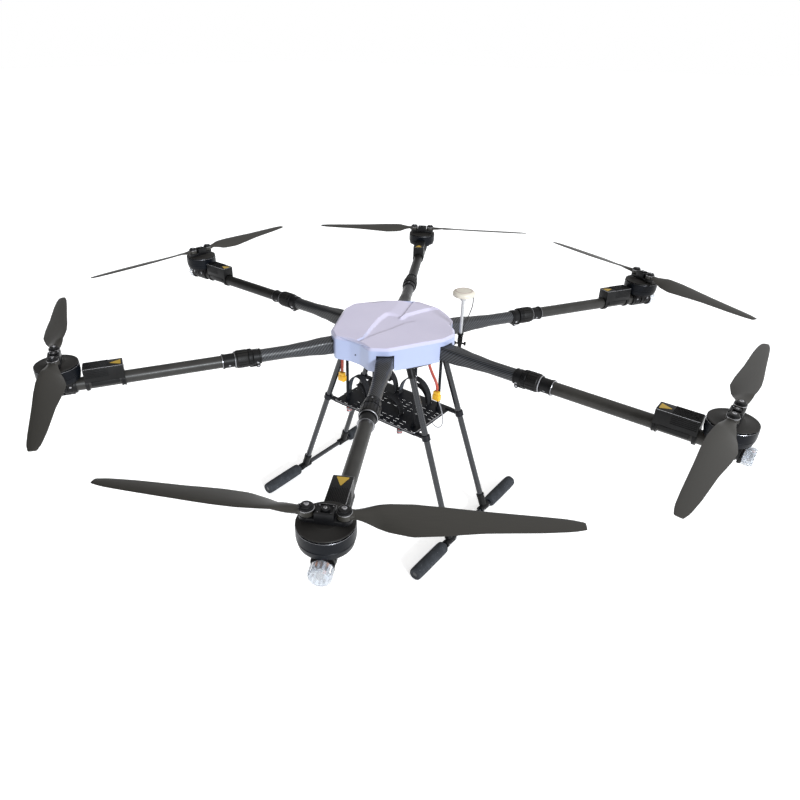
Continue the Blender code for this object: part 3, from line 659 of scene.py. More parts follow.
# %% Inboard sleeve, ears and pin
sleeve = turned([(0.0150, 0.3540), (0.0182, 0.3542), (0.0188, 0.3552), (0.0188, 0.3580),
                 (0.0180, 0.3585), (0.0180, 0.3595), (0.0190, 0.3600), (0.0190, 0.3735),
                 (0.0186, 0.3740), (0.0140, 0.3740)],
                (0, 0, ARM_Z), "X", closed=True)
pocket = block((0.022, 0.0128, 0.009), (0.3685, 0, HINGE_Z + 0.0008), 0)
sleeve = cut(sleeve, pocket)
parts = [sleeve]
for side in (-1, 1):
    parts.append(rod((HINGE_X, side * 0.0065, HINGE_Z), (HINGE_X, side * 0.0115, HINGE_Z), 0.005,
                     edge=0.0006))
    parts.append(block((0.010, 0.005, 0.006), (HINGE_X, side * 0.009, HINGE_Z + 0.003), 0.0005))
sleeve = dressed(joined("sleeve", *parts), BLACK_METAL)
on_each_arm(sleeve, "root_sleeve", "black_anodised", airframe_body)
pins = [screw((HINGE_X, side * 0.0113, HINGE_Z), (0, side, 0), 0.0028) for side in (-1, 1)]
pins += [screw((0.3640, side * 0.0168, ARM_Z - 0.0088), (0, side * 0.9, -0.45), 0.0030)
         for side in (-1, 1)]
pins.append(screw((0.3640, 0, ARM_Z + 0.0188), (0, 0, 1), 0.0022))
on_each_arm(dressed(joined("pins", *pins), SCREW_METAL), "root_screws", "black_anodised",
            airframe_body)

# %% [markdown]
# ## The lock collar
# The collar is turned, then every fourth strip of its outer wall is pushed in to leave broad flat
# ribs for the fingers.

# %% Ribbed collar
RIB_STRIPS = 72
collar = turned([(0.0176, 0.4187), (0.0190, 0.4190), (0.0200, 0.4180), (0.0205, 0.4140),
                 (0.0219, 0.4120), (0.0220, 0.3895), (0.0214, 0.3870), (0.0205, 0.3856),
                 (0.0176, 0.3856)],
                (0, 0, ARM_Z), "X", steps=RIB_STRIPS, closed=True, smooth=25)


def groove(centre, normal):
    radial = math.hypot(centre.y, centre.z - ARM_Z)
    around = math.degrees(math.atan2(centre.z - ARM_Z, centre.y)) % 360
    step = int(around / (360 / RIB_STRIPS))
    return radial > 0.0212 and abs(normal.x) < 0.5 and step % 4 == 0


def grooved(piece):
    """The collar's ribs, left standing between shallow grooves."""
    edit(piece, "FACE", groove)
    bpy.ops.mesh.extrude_region_shrink_fatten(TRANSFORM_OT_shrink_fatten={"value": -0.0014})
    return done(piece, 25)


grooved(collar)
on_each_arm(dressed(collar, COLLAR_METAL), "collar", "collar_black", collar_body, "lock_collar")
ring = turned([(0.0190, 0.4187), (0.0194, 0.4190), (0.0203, 0.4182), (0.0205, 0.4172),
               (0.0196, 0.4170)],
              (0, 0, ARM_Z), "X", closed=True)
on_each_arm(dressed(ring, BRIGHT_METAL), "collar_ring", "collar_black", collar_body)

# %% [markdown]
# ## The outer arm
# A round tube runs out to the motor. At its root it has the other half of the coupling: a sleeve
# with a tongue below for the fold pin, a bright screw and a bright end ring.

# %% Outer tube and sleeve
tube = turned([(0.0150, 0.4400), (0.0150, 0.8270), (0.0135, 0.8270), (0.0135, 0.4400)],
              (0, 0, ARM_Z), "X", steps=48, closed=True)
on_each_arm(dressed(tube, PLAIN_TUBE), "outer_tube", "carbon_tube", node="arm_tube")
outer_sleeve = turned([(0.0138, 0.3750), (0.0206, 0.3752), (0.0215, 0.3762), (0.0218, 0.3780),
                       (0.0218, 0.3846), (0.0214, 0.3851), (0.0170, 0.3852), (0.0170, 0.4400),
                       (0.0174, 0.4405), (0.0174, 0.4435), (0.0152, 0.4440), (0.0138, 0.4440)],
                      (0, 0, ARM_Z), "X", steps=RIB_STRIPS, closed=True, smooth=25)
outer_sleeve = grooved(outer_sleeve)
tongue = [block((0.0195, 0.0112, 0.0084), (0.3732, 0, HINGE_Z), 0.0005),
          rod((HINGE_X, -0.0058, HINGE_Z), (HINGE_X, 0.0058, HINGE_Z), 0.0045)]
on_each_arm(dressed(joined("outer_sleeve", outer_sleeve, *tongue), BLACK_METAL), "outer_sleeve",
            "black_anodised")
cuff = turned([(0.0152, 0.4436), (0.0182, 0.4436), (0.0185, 0.4441), (0.0185, 0.4470),
               (0.0152, 0.4471)],
              (0, 0, ARM_Z), "X", closed=True)
on_each_arm(dressed(cuff, BLACK_METAL), "outer_cuff", "black_anodised")
ring = turned([(0.0152, 0.4472), (0.0183, 0.4472), (0.0183, 0.4479), (0.0179, 0.4484),
               (0.0152, 0.4485)],
              (0, 0, ARM_Z), "X", closed=True)
screws = [screw((0.4320, side * 0.01435, ARM_Z - 0.0067), (0, side * 0.9, -0.43), 0.0028)
          for side in (-1, 1)]
on_each_arm(dressed(joined("ring", ring, *screws), BRIGHT_METAL), "outer_ring", "black_anodised")

# %% [markdown]
# ## Motor clamp
# The motor stands on a round plate. Two clamp rings hold the plate's saddle to the tube, each with
# a split and screws below.

# %% Motor clamp
def band(start, end, radius, ribs=0):
    """A clamp ring round the tube, with shallow ribs turned into it."""
    profile = [(0.0152, start), (radius - 0.0006, start), (radius, start + 0.0006)]
    for k in range(ribs):
        x = start + (end - start) * (k + 1) / (ribs + 1)
        profile += [(radius, x - 0.0018), (radius - 0.0012, x - 0.0010),
                    (radius - 0.0012, x + 0.0010), (radius, x + 0.0018)]
    profile += [(radius, end - 0.0006), (radius - 0.0006, end), (0.0152, end)]
    return turned(profile, (0, 0, ARM_Z), "X", closed=True)


clamp = [band(0.7700, 0.7960, 0.0190, 2), band(0.8000, 0.8300, 0.0190, 2)]
clamp.append(turned([(0, 0.5225), (0.0294, 0.5225), (0.0300, 0.5231), (0.0300, 0.5259),
                     (0.0294, 0.5265), (0, 0.5265)], (HUB, 0, 0), name="plate"))
clamp.append(block((0.046, 0.030, 0.014), (HUB, 0, 0.5180), 0.0015))
clamp.append(block((0.050, 0.012, 0.009), (HUB, 0, 0.4945), 0.0015))
CLAMP_SCREWS = (0.782, 0.818)
for x in CLAMP_SCREWS:
    for side in (-1, 1):
        clamp.append(block((0.012, 0.006, 0.016), (x, side * 0.0165, ARM_Z + 0.004), 0.0012))
on_each_arm(dressed(joined("clamp", *clamp), BLACK_METAL), "motor_clamp", "black_anodised",
            node="motor_mount")
bolts = [screw((x, side * 0.0196, ARM_Z + 0.004), (0, side, 0), 0.0026)
         for x in CLAMP_SCREWS for side in (-1, 1)]
bolts += [screw((HUB + 0.0255 * math.cos(a), 0.0255 * math.sin(a), 0.5266), (0, 0, 1), 0.0022)
          for a in [math.radians(45 + 90 * k) for k in range(4)]]
on_each_arm(dressed(joined("bolts", *bolts), SCREW_METAL), "motor_bolts", "black_anodised")

# %% [markdown]
# ## Speed controller
# The controller is a finned box that straddles the tube just inboard of the motor. Its inner third
# is smooth and carries a plain yellow triangle; the rest is cut into fine fins along the arm.

# %% Controller housing and fins
BOX_START, BOX_END, BOX_TOP, BOX_HALF = 0.6665, 0.7515, 0.5510, 0.0180
BOX_MIDDLE = (BOX_START + BOX_END) / 2
box = block((BOX_END - BOX_START, 2 * BOX_HALF, 0.034), (BOX_MIDDLE, 0, BOX_TOP - 0.017), 0.0012)
tunnel = rod((BOX_START - 0.01, 0, ARM_Z), (BOX_END + 0.01, 0, ARM_Z), 0.0156, 32)
box = cut(box, tunnel)
bands = [band(BOX_START, 0.6765, 0.0188, 1), band(0.7440, BOX_END, 0.0188)]
cheeks = [block((0.060, 0.0035, 0.010), (BOX_MIDDLE, side * 0.0170, ARM_Z + 0.002), 0.0008)
          for side in (-1, 1)]
on_each_arm(dressed(joined("housing", box, *bands, *cheeks), HOUSING_BLACK), "controller_housing",
            "black_anodised")
fins = [block((0.052, 0.0011, 0.0022), (0.7235, -0.0165 + 0.00275 * k, BOX_TOP + 0.0003), 0.0002)
        for k in range(13)]
fins += [block((0.050, 0.0018, 0.0011), (0.7235, side * 0.01815, BOX_TOP - 0.006 - 0.004 * k),
               0.0002)
         for side in (-1, 1) for k in range(5)]
on_each_arm(dressed(joined("fins", *fins), BLACK_METAL), "controller_fins", "black_anodised")

# %% [markdown]
# ## The yellow mark
# A plain triangle with rounded corners is stuck on the controller. It could be painted by the
# material, but a thin raised piece keeps its edge crisp from any distance.

# %% Yellow triangle, a plain mark with rounded corners
def triangle_mark():
    corners = [(0.6705, -0.0115), (0.6945, 0.0), (0.6705, 0.0115)]
    deselect()
    bpy.ops.mesh.primitive_circle_add(vertices=3, radius=0.01, fill_type="NGON", location=(0, 0, 0))
    mark = bpy.context.object
    for vert, (x, y) in zip(mark.data.vertices, corners):
        vert.co = (x, y, BOX_TOP + 0.00005)
    edit(mark)
    bpy.ops.mesh.bevel(affect="VERTICES", offset=0.0025, segments=4)
    bpy.ops.mesh.extrude_region_move(TRANSFORM_OT_translate={"value": (0, 0, 0.0003)})
    bpy.ops.mesh.select_all(action="SELECT")
    bpy.ops.mesh.normals_make_consistent(inside=False)
    return done(mark)


on_each_arm(dressed(triangle_mark(), MARK_YELLOW), "controller_mark", "black_anodised")
# Thin bright strips along the box's top edges are painted highlights, for the light caught on those
# edges.
edge_highlights = [block((BOX_END - BOX_START - 0.002, 0.0005, 0.0005),
                (BOX_MIDDLE, side * 0.0178, BOX_TOP - 0.0002), 0) for side in (-1, 1)]
edge_highlights.append(block((0.0005, 0.034, 0.0005), (BOX_START + 0.0004, 0, BOX_TOP - 0.0002), 0))
on_each_arm(dressed(joined("edge_highlights", *edge_highlights), SCREW_METAL), "controller_edge_highlights", "black_anodised")

# %% [markdown]
# ## Stator and its windings
# Under the bell the fixed stator shows its copper: one coil is rounded off, then copied round.

# %% Stator
COILS = 24
stator = turned([(0, 0.5266), (0.0270, 0.5266), (0.0275, 0.5272), (0.0275, 0.5560), (0, 0.5560)],
                (HUB, 0, 0))
coil = block((0.0090, 0.0058, 0.0270), (HUB + 0.0318, 0, 0.5440), 0.0018)
coils = repeated(coil, *[spun(360 / COILS * k, (HUB, 0, 0)) for k in range(COILS)])
feet = block((0.0012, 0.0085, 0.0240), (HUB + 0.0377, 0, 0.5440), 0.0003)
feet = repeated(feet, *[spun(360 / COILS * k, (HUB, 0, 0)) for k in range(COILS)])
on_each_arm(dressed(joined("windings", *coils), COPPER), "windings", "motor_black")
on_each_arm(dressed(joined("stator", stator, *feet), BLACK_METAL), "stator", "motor_black")

# %% [markdown]
# ## End lamp
# A clear fluted drum closes each arm. It is lathe work, then every second strip of its wall is
# pushed in for the flutes.

# %% Lamp
LAMP_Z = 0.505
FLUTE_STRIPS = 56
lens = turned([(0.0168, 0.8350), (0.0184, 0.8352), (0.0189, 0.8360), (0.0189, 0.8490),
               (0.0180, 0.8518), (0.0158, 0.8536), (0.0, 0.8539), (0.0, 0.8525), (0.0150, 0.8520),
               (0.0168, 0.8500)],
              (0, 0, LAMP_Z), "X", steps=FLUTE_STRIPS, closed=True, smooth=30)


def flute(centre, normal):
    step = int((math.atan2(centre.z - LAMP_Z,
                           centre.y) % (2 * math.pi)) / (2 * math.pi / FLUTE_STRIPS))
    return abs(normal.x) < 0.85 and math.hypot(centre.y,
                                               centre.z - LAMP_Z) > 0.0160 and step % 4 < 2


edit(lens, "FACE", flute)
bpy.ops.mesh.extrude_region_shrink_fatten(TRANSFORM_OT_shrink_fatten={"value": -0.0013})
on_each_arm(dressed(done(lens, 30), LAMP_CLEAR), "lamp_lens", "black_anodised")
back = turned([(0, 0.8346), (0.0162, 0.8346), (0.0165, 0.8354), (0.0165, 0.8400), (0.0135, 0.8425),
               (0.0078, 0.8435), (0, 0.8435)], (0, 0, LAMP_Z), "X")
on_each_arm(dressed(back, LAMP_WHITE), "lamp_back", "black_anodised")
core = turned([(0, 0.8425), (0.0062, 0.8425), (0.0062, 0.8495), (0.0056, 0.8508), (0, 0.8512)],
              (0, 0, LAMP_Z), "X")
chips = [block((0.004, 0.0035, 0.0035),
               (0.8450, 0.0115 * math.cos(a), LAMP_Z + 0.0115 * math.sin(a)), 0.0004)
         for a in (0.4, 1.9, 3.4, 5.2)]
on_each_arm(dressed(joined("core", core, *chips), LAMP_CORE), "lamp_core", "black_anodised")
on_each_arm(dressed(block((0.006, 0.005, 0.0035), (0.8465, 0.0070, 0.5140), 0.0008), LAMP_RED),
            "lamp_red", "black_anodised")
bracket = [block((0.0060, 0.026, 0.030), (0.8300, 0, LAMP_Z), 0.0012),
           block((0.0040, 0.032, 0.020), (0.8320, 0, LAMP_Z), 0.0012),
           turned([(0, 0.8310), (0.0180, 0.8310), (0.0186, 0.8316), (0.0186, 0.8344), (0, 0.8345)],
                  (0, 0, LAMP_Z), "X")]
on_each_arm(dressed(joined("bracket", *bracket), BLACK_METAL), "lamp_bracket", "black_anodised")
on_each_arm(dressed(screw((0.8300, -0.0132, LAMP_Z), (0, -1, 0), 0.0024), SCREW_METAL),
            "lamp_screw", "black_anodised")

# %% [markdown]
# ## Motor bell
# The outrunner's bell turns with the propeller. Its top is a shallow dish with a raised boss; a row
# of cooling slots runs just under the rim, and the wall tapers at the foot. Short posts stand in the
# slots, with a near-black ring behind them as painted shade for the slots' dark inside.

# %% Bell
POSTS = 18
BELL = [(0, 0.5705), (0.0195, 0.5705), (0.0210, 0.5701), (0.0216, 0.5698), (0.0425, 0.5682),
        (0.0440, 0.5684), (0.0451, 0.5680), (0.0455, 0.5674), (0.0455, 0.5669), (0.0438, 0.5667)]
crown = turned(BELL + [(0.0400, 0.5667), (0.0400, 0.5650), (0.0, 0.5650)], (HUB, 0, 0), steps=72)
on_each_arm(dressed(crown, MOTOR_TOP), "bell_top", "motor_black", rotor_body, "rotor")
# The wall takes the darker, bluer finish: painted shade and cool light on the bell's side.
wall = turned([(0.0438, 0.5632), (0.0457, 0.5631), (0.0460, 0.5626), (0.0460, 0.5458),
               (0.0452, 0.5452), (0.0450, 0.5440), (0.0456, 0.5432), (0.0455, 0.5420),
               (0.0430, 0.5316), (0.0424, 0.5310), (0.0400, 0.5310), (0.0398, 0.5318),
               (0.0398, 0.5660), (0.0410, 0.5660), (0.0410, 0.5632)],
              (HUB, 0, 0), steps=72, closed=True)
post = block((0.0042, 0.0026, 0.0042), (HUB + 0.0431, 0, 0.5650), 0.0002)
posts = repeated(post, *[spun(360 / POSTS * k, (HUB, 0, 0)) for k in range(POSTS)])
on_each_arm(dressed(joined("wall", wall, *posts), MOTOR_SIDE_PAINTED_SHADE), "bell_wall", "motor_black",
            rotor_body)
# A near-black ring behind the posts is painted shade for the dark inside of the slots.
dark = turned([(0.0412, 0.5633), (0.0420, 0.5633), (0.0420, 0.5666), (0.0412, 0.5666)], (HUB, 0, 0),
              steps=72, closed=True)
on_each_arm(dressed(dark, SLOT_SHADE_AND_SCREW_BLACK), "bell_slot_shade", "motor_black", rotor_body)
rim = turned([(0.0444, 0.5633), (0.0449, 0.5637), (0.0455, 0.5636), (0.0457, 0.5632),
              (0.0444, 0.5630)],
             (HUB, 0, 0), steps=72, closed=True)
on_each_arm(dressed(rim, BRIGHT_METAL), "bell_rim", "motor_black", rotor_body)

# %% [markdown]
# ## Propeller hub
# The hub is a bar with rounded ends below the blades and a block between them. Caps over both
# blade roots are held by bright screws.

# %% Hub
low_bar = [block((0.024, 0.057, 0.0075), (HUB, 0, 0.5752), 0.0012)]
low_bar += [turned([(0, 0.5715), (0.0112, 0.5715), (0.0120, 0.5723), (0.0120, 0.5786),
                    (0.0114, 0.5792), (0, 0.5792)],
                   (HUB, side * PIVOT, 0)) for side in (-1, 1)]
centre = block((0.0255, 0.0300, 0.0200), (HUB, 0, 0.5812), 0.0012)
edit(centre, "FACE", lambda c, n: n.z > 0.9 and c.z > 0.590)
bpy.ops.mesh.inset(thickness=0.0028)
bpy.ops.mesh.extrude_region_move(TRANSFORM_OT_translate={"value": (0, 0, -0.0020)})
done(centre)
low_bar.append(centre)
low_bar.append(turned([(0, 0.5890), (0.0065, 0.5890), (0.0070, 0.5900), (0.0070, 0.5925),
                       (0.0060, 0.5935), (0, 0.5935)],
                      (HUB, 0, 0), steps=24))
caps = []
for side in (-1, 1):
    caps.append(turned([(0, 0.5903), (0.0110, 0.5903), (0.0115, 0.5908), (0.0115, 0.5926),
                        (0.0108, 0.5932), (0.0092, 0.5934), (0.0088, 0.5956), (0.0078, 0.5962),
                        (0, 0.5963)], (HUB, side * PIVOT, 0)))
on_each_arm(dressed(joined("hub", *low_bar, *caps), HUB_BLACK), "hub", "motor_black", rotor_body)
dots = [screw((HUB + sx * 0.0085, sy * 0.0105, 0.5897), (0, 0, 1), 0.0016) for sx in (-1, 1)
        for sy in (-1, 1)]
dots += [screw((HUB, side * PIVOT, 0.5962), (0, 0, 1), 0.0042) for side in (-1, 1)]
dots.append(screw((HUB, 0, 0.5930), (0, 0, 1), 0.0030))
on_each_arm(dressed(joined("dots", *dots), SCREW_METAL), "hub_screws", "motor_black", rotor_body)

# %% [markdown]
# ## Folding blades
# A blade is a row of wing sections from a round root to a clipped tip, each turned to the pitch
# that its distance from the axis needs. A grid rolled round the sections gives clean UVs along it.
# Propellers that turn the other way are mirror images.

# %% Blade sections
# Each station: distance out, leading width, trailing width, thickness.
STATIONS = ((0.012, 0.0100, 0.0095, 0.0082), (0.024, 0.0130, 0.0110, 0.0078),
            (0.040, 0.0165, 0.0165, 0.0065), (0.065, 0.0205, 0.0255, 0.0055),
            (0.100, 0.0230, 0.0330, 0.0050), (0.142, 0.0220, 0.0300, 0.0045),
            (0.202, 0.0185, 0.0225, 0.0038), (0.283, 0.0148, 0.0170, 0.0030),
            (0.320, 0.0125, 0.0128, 0.0026), (0.340, 0.0095, 0.0092, 0.0022),
            (0.346, 0.0068, 0.0062, 0.0018))
SECTION = ((1.0, 0.0), (0.86, 0.28), (0.50, 0.50), (0.0, 0.56), (-0.45, 0.42), (-0.80, 0.20),
           (-1.0, 0.02), (-1.0, -0.04), (-0.80, -0.12), (-0.45, -0.24), (0.0, -0.36), (0.50, -0.44),
           (0.86, -0.26))

BLADE_STEPS = 44
PROP_PITCH = 0.2286         # how far one turn would screw the propeller forward
BLADE_REACH = [STATIONS[0][0] + (STATIONS[-1][0] - STATIONS[0][0]) * k / BLADE_STEPS
               for k in range(43)]
BLADE_REACH += [0.3432, 0.346]
print(len(BLADE_REACH), "blade sections")

# %% Blade
def between(reach):
    for near, far in zip(STATIONS, STATIONS[1:]):
        if reach <= far[0] + 1e-9:
            t = (reach - near[0]) / (far[0] - near[0])
            return [a + (b - a) * t for a, b in zip(near[1:], far[1:])]
    return STATIONS[-1][1:]


def blade(spin):
    """A whole blade with its round root; spin is 1 or -1 for the way it turns."""

    def skin(u, v):
        reach = BLADE_REACH[min(BLADE_STEPS, int(u * BLADE_STEPS + 0.5))]
        lead, trail, thick = between(reach)
        pitch = min(math.atan(PROP_PITCH / (2 * math.pi * (reach + PIVOT))), math.radians(24))
        pitch *= min(1.0, max(0.0, (reach - 0.015) / 0.035))
        along, up = SECTION[int(v * len(SECTION) + 0.5) % len(SECTION)]
        along, up = along * (lead if along > 0 else trail), up * thick
        across = along * math.cos(pitch) - up * math.sin(pitch)
        return (-spin * across, reach, PROP_Z + along * math.sin(pitch) + up * math.cos(pitch))

    made = wrapped(BLADE_STEPS, len(SECTION), skin, size=(0.334, 0.10), smooth=50)
    root = turned([(0, 0.5800), (0.0114, 0.5800), (0.0120, 0.5806), (0.0120, 0.5894),
                   (0.0114, 0.5900), (0, 0.5900)],
                  steps=32)
    neck = block((0.0170, 0.0120, 0.0080), (0, 0.0095, PROP_Z), 0.0015)
    return dressed(joined("blade", made, root, neck), BLADE_SKIN)

# %% Blades in their places
masters = {1: blade(1), -1: blade(-1)}
# A thin bright ring on the top edge of each blade root is a painted highlight, for the light caught
# on that edge.
edge_highlight_master = turned([(0.0117, 0.5890), (0.0121, 0.5890), (0.0121, 0.5898), (0.0115, 0.5902)],
                     steps=32, closed=True)
dressed(edge_highlight_master, SCREW_METAL)
for name, angle in ARMS.items():
    for letter, side, rest in zip("ab", (1, -1), REST_TURN[name]):
        turn = math.radians(rest) + (0.0 if side > 0 else math.pi)
        place = (Matrix.Rotation(math.radians(angle), 4, "Z") @ shift(HUB, side * PIVOT)
                 @ Matrix.Rotation(turn, 4, "Z"))
        for source, label in ((masters[-1 if name in CLOCKWISE else 1], "blade"),
                              (edge_highlight_master, "root_ring")):
            copy = bpy.data.objects.new("copy", source.data.copy())
            copy.data.transform(place)
            bpy.context.collection.objects.link(copy)
            nodes = ["blade_" + letter + "_" + name] if label == "blade" else []
            hand_over(copy, label + "_skin_" + letter + "_" + name, "blade_" + letter + "_" + name,
                      "blade_grey", *nodes)
for piece in (*masters.values(), edge_highlight_master):
    bpy.data.objects.remove(piece)
print("12 blades")

# %% [markdown]
# ## The canopy
# The canopy's plan is an irregular outline with a lobe over each arm, and its top has three raised
# decks round a valley. No primitive comes near that, so the top is triangulated inside its outline
# with the deck edges as crease lines, and every point is lifted to the deck, ramp or valley it is
# on. The walls are rings below it.

# %% Canopy outline and decks
HALF_PLAN = ((0.017, -0.158), (0.055, -0.171), (0.094, -0.143), (0.130, -0.075), (0.163, -0.013),
             (0.167, 0.031), (0.143, 0.066), (0.127, 0.075), (0.112, 0.108), (0.080, 0.134),
             (0.035, 0.160))
PLAN = [*HALF_PLAN, *[(-x, y) for x, y in reversed(HALF_PLAN)]]
CANOPY_TOP, VALLEY = 0.550, 0.0056
LEFT_DECK = [(-0.003, -0.175), (-0.0013, -0.1275), (-0.0265, -0.066), (-0.0475, -0.010),
             (-0.0543, 0.025), (-0.0545, 0.036), (-0.0500, 0.046), (-0.0620, 0.085),
             (-0.0756, 0.1157), (-0.085, 0.18), (-0.25, 0.18), (-0.25, -0.175)]
RIGHT_DECK = [(0.0108, -0.175), (0.0108, -0.136), (0.0157, -0.0866), (0.0256, -0.0348),
              (0.0300, 0.0098), (0.0441, 0.0426), (0.0696, 0.0596), (0.1007, 0.0729), (0.25, 0.085),
              (0.25, -0.175)]
REAR_DECK = [(-0.0045, 0.036), (-0.0085, 0.0588), (0.0027, 0.1006), (0.0130, 0.1324),
             (0.0277, 0.1587), (0.035, 0.19), (-0.060, 0.19), (-0.0395, 0.1361), (-0.0263, 0.0996),
             (-0.0075, 0.0517)]

# %% Outline helpers
def rounded(points, radius, steps=3):
    """The closed outline with each corner replaced by a short curve."""
    made = []
    for k, corner in enumerate(points):
        here = Vector(corner)
        before, after = Vector(points[k - 1]) - here, Vector(points[(k + 1) % len(points)]) - here
        reach = min(radius, before.length / 2.2, after.length / 2.2)
        a, b = here + before.normalized() * reach, here + after.normalized() * reach
        for step in range(steps + 1):
            t = step / steps
            made.append((1 - t) ** 2 * a + 2 * t * (1 - t) * here + t ** 2 * b)
    return made


def distance(point, outline):
    """How far a point is outside a closed outline, or minus how far inside."""
    best, inside = 1.0, False
    x, y = point
    for k in range(len(outline)):
        ax, ay = outline[k - 1]
        bx, by = outline[k]
        dx, dy = bx - ax, by - ay
        t = max(0.0, min(1.0, ((x - ax) * dx + (y - ay) * dy) / max(dx * dx + dy * dy, 1e-12)))
        best = min(best, math.hypot(x - ax - t * dx, y - ay - t * dy))
        if (ay > y) != (by > y) and x < ax + (y - ay) / (by - ay) * dx:
            inside = not inside
    return -best if inside else best


def eased(t):
    t = max(0.0, min(1.0, t))
    return t * t * (3 - 2 * t) * 0.35 + t * 0.65

# %% How high the top is
NARROW_RAMP, RIGHT_RAMP = 0.0025, 0.0035


def deck_lift(x, y):
    """1 on a deck, 0 in the valley. The left deck's ramp widens to the rear."""
    left_ramp = 0.0035 + 0.0085 * eased((y + 0.130) / 0.150) + 0.040 * eased((y - 0.030) / 0.022)
    lifts = [1 - distance((x, y), LEFT_DECK) / left_ramp,
             1 - distance((x, y), RIGHT_DECK) / RIGHT_RAMP]
    rear_ramp = 0.0095 if x > -0.0085 + (y - 0.0588) * 0.25 - 0.004 else NARROW_RAMP
    lifts.append(1 - distance((x, y), REAR_DECK) / rear_ramp)
    return eased(max(lifts))

# %% [markdown]
# ## The canopy's skin
# The edge is rounded over by stepping the outline inwards. The wall's thickness comes last, by
# Solidify, and six blocks cut the notches where the arm roots leave.

# %% Canopy mesh
OUTLINE = rounded(PLAN, 0.007)
BEVEL = 0.0065
GRID_PITCH = 0.0032
CANOPY_WALL = 0.0022
# Height of each ring below the rim, and how far it stands in from the outline.
WALL_RINGS = ((0.5465, 0.0022), (0.5440, 0.0004), (0.5180, 0.0003), (0.4902, 0.0006))


def inset(outline, amount):
    """Each point of the outline moved in by the given amount."""
    moved = []
    for k, here in enumerate(outline):
        way = (outline[(k + 1) % len(outline)] - outline[k - 1]).normalized()
        moved.append(here + Vector((-way.y, way.x)) * amount)
    return moved


def rim_height(x, y):
    return CANOPY_TOP - VALLEY * (1 - deck_lift(x, y))

# %% Top surface
def canopy_surface():
    """The top inside its rim: points, faces, and which points lie on the rim."""
    edge = inset(OUTLINE, BEVEL)
    lines = [[Vector(p) for p in outline] for outline in (LEFT_DECK, RIGHT_DECK, REAR_DECK)]
    points, links = list(edge), [(k, (k + 1) % len(edge)) for k in range(len(edge))]
    frame_line = [tuple(p) for p in edge]
    for line in lines:
        for a, b in zip(line, line[1:] + line[:1]):
            steps = max(1, int((b - a).length / 0.004))
            run = [a.lerp(b, t / steps) for t in range(steps + 1)]
            for p, q in zip(run, run[1:]):
                if distance(p, frame_line) < -0.001 and distance(q, frame_line) < -0.001:
                    links.append((len(points), len(points) + 1))
                    points += [p, q]
    for i in range(-54, 55):
        for j in range(-54, 55):
            p = Vector(((i + 0.5 * (j % 2)) * GRID_PITCH, j * GRID_PITCH))
            if abs(p.x) < 0.165 and distance(p, frame_line) < -0.0015:
                points.append(p)
    verts, _, faces, origins, _, _ = delaunay_2d_cdt(points, links, [], 1, 0.00005, True)
    spots = [(v.x, v.y, rim_height(v.x, v.y)) for v in verts]
    faces = [tuple(f) for f in faces]
    ring_at = {k: n for n, sources in enumerate(origins) for k in sources if k < len(edge)}
    return spots, faces, [ring_at[k] for k in range(len(edge))]

# %% Shell with its walls
def canopy_mesh():
    """The top with rings of wall below it, thickened into a shell."""
    spots, faces, above = canopy_surface()
    count = len(OUTLINE)
    for z, amount in WALL_RINGS:
        ring = []
        for k, p in enumerate(inset(OUTLINE, amount)):
            inner = spots[above[k]]
            top = min(z, inner[2] - 0.0003) if z > 0.543 else z
            ring.append(len(spots))
            spots.append((p.x, p.y, top))
        for k in range(count):
            after = (k + 1) % count
            faces.append((above[k], ring[k], ring[after], above[after]))
        above = ring
    mesh = bpy.data.meshes.new("canopy_shell")
    mesh.from_pydata(spots, [], faces)
    shell = bpy.data.objects.new("canopy_shell", mesh)
    bpy.context.collection.objects.link(shell)
    edit(shell)
    bpy.ops.mesh.normals_make_consistent(inside=False)
    done(shell, 24)
    wall = shell.modifiers.new("wall", "SOLIDIFY")
    wall.thickness = CANOPY_WALL
    wall.offset = -1
    settle(shell)
    return shell

# %% Notches and fixings
shell = canopy_mesh()
notches = []
for angle in ARMS.values():
    notch = block((0.100, 0.0425, 0.060), (0.165, 0, 0.502), 0.0)
    notch.data.transform(Matrix.Rotation(math.radians(angle), 4, "Z"))
    notches.append(notch)
shell = cut(shell, *notches)
take(shell)
bpy.ops.object.shade_smooth_by_angle(angle=math.radians(22))
hand_over(dressed(shell, CANOPY_PAINT_AND_WALL_LIGHT), "canopy_shell_skin", "airframe", "canopy_shell", "canopy")
print("canopy", len(shell.data.polygons), "faces")
wall_screws = ((0.0945, -0.1405), (-0.0945, -0.1405), (0.1275, 0.0760), (-0.1275, 0.0760),
               (0.0010, -0.1572))
small = [screw((x, y, 0.5125), (x, y, 0), 0.0022) for x, y in wall_screws]
hand_over(dressed(joined("canopy_screws", *small), SLOT_SHADE_AND_SCREW_BLACK), "canopy_fixings", "airframe",
          "canopy_shell")

# %% [markdown]
# ## Frame plates
# The CAD's own plates and posts keep their shape and only need a better finish and some screws.

# %% Plates
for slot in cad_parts["center_frame"].material_slots:
    slot.material = CARBON_PLATE
heads = []
for k in range(12):
    angle = math.radians(30 * k + 15)
    heads.append(screw((0.138 * math.cos(angle), 0.138 * math.sin(angle), 0.4869), (0, 0, -1),
                       0.0026))
hand_over(dressed(joined("plate_screws", *heads), SCREW_METAL), "plate_screws", "airframe",
          "carbon_plate")

# %% [markdown]
# ## Landing gear
# Four gloss tubes run from sockets under the plate to tees on the two skids. The ends of each skid
# wear soft foam sleeves, a little fatter in the middle than at their cut ends.

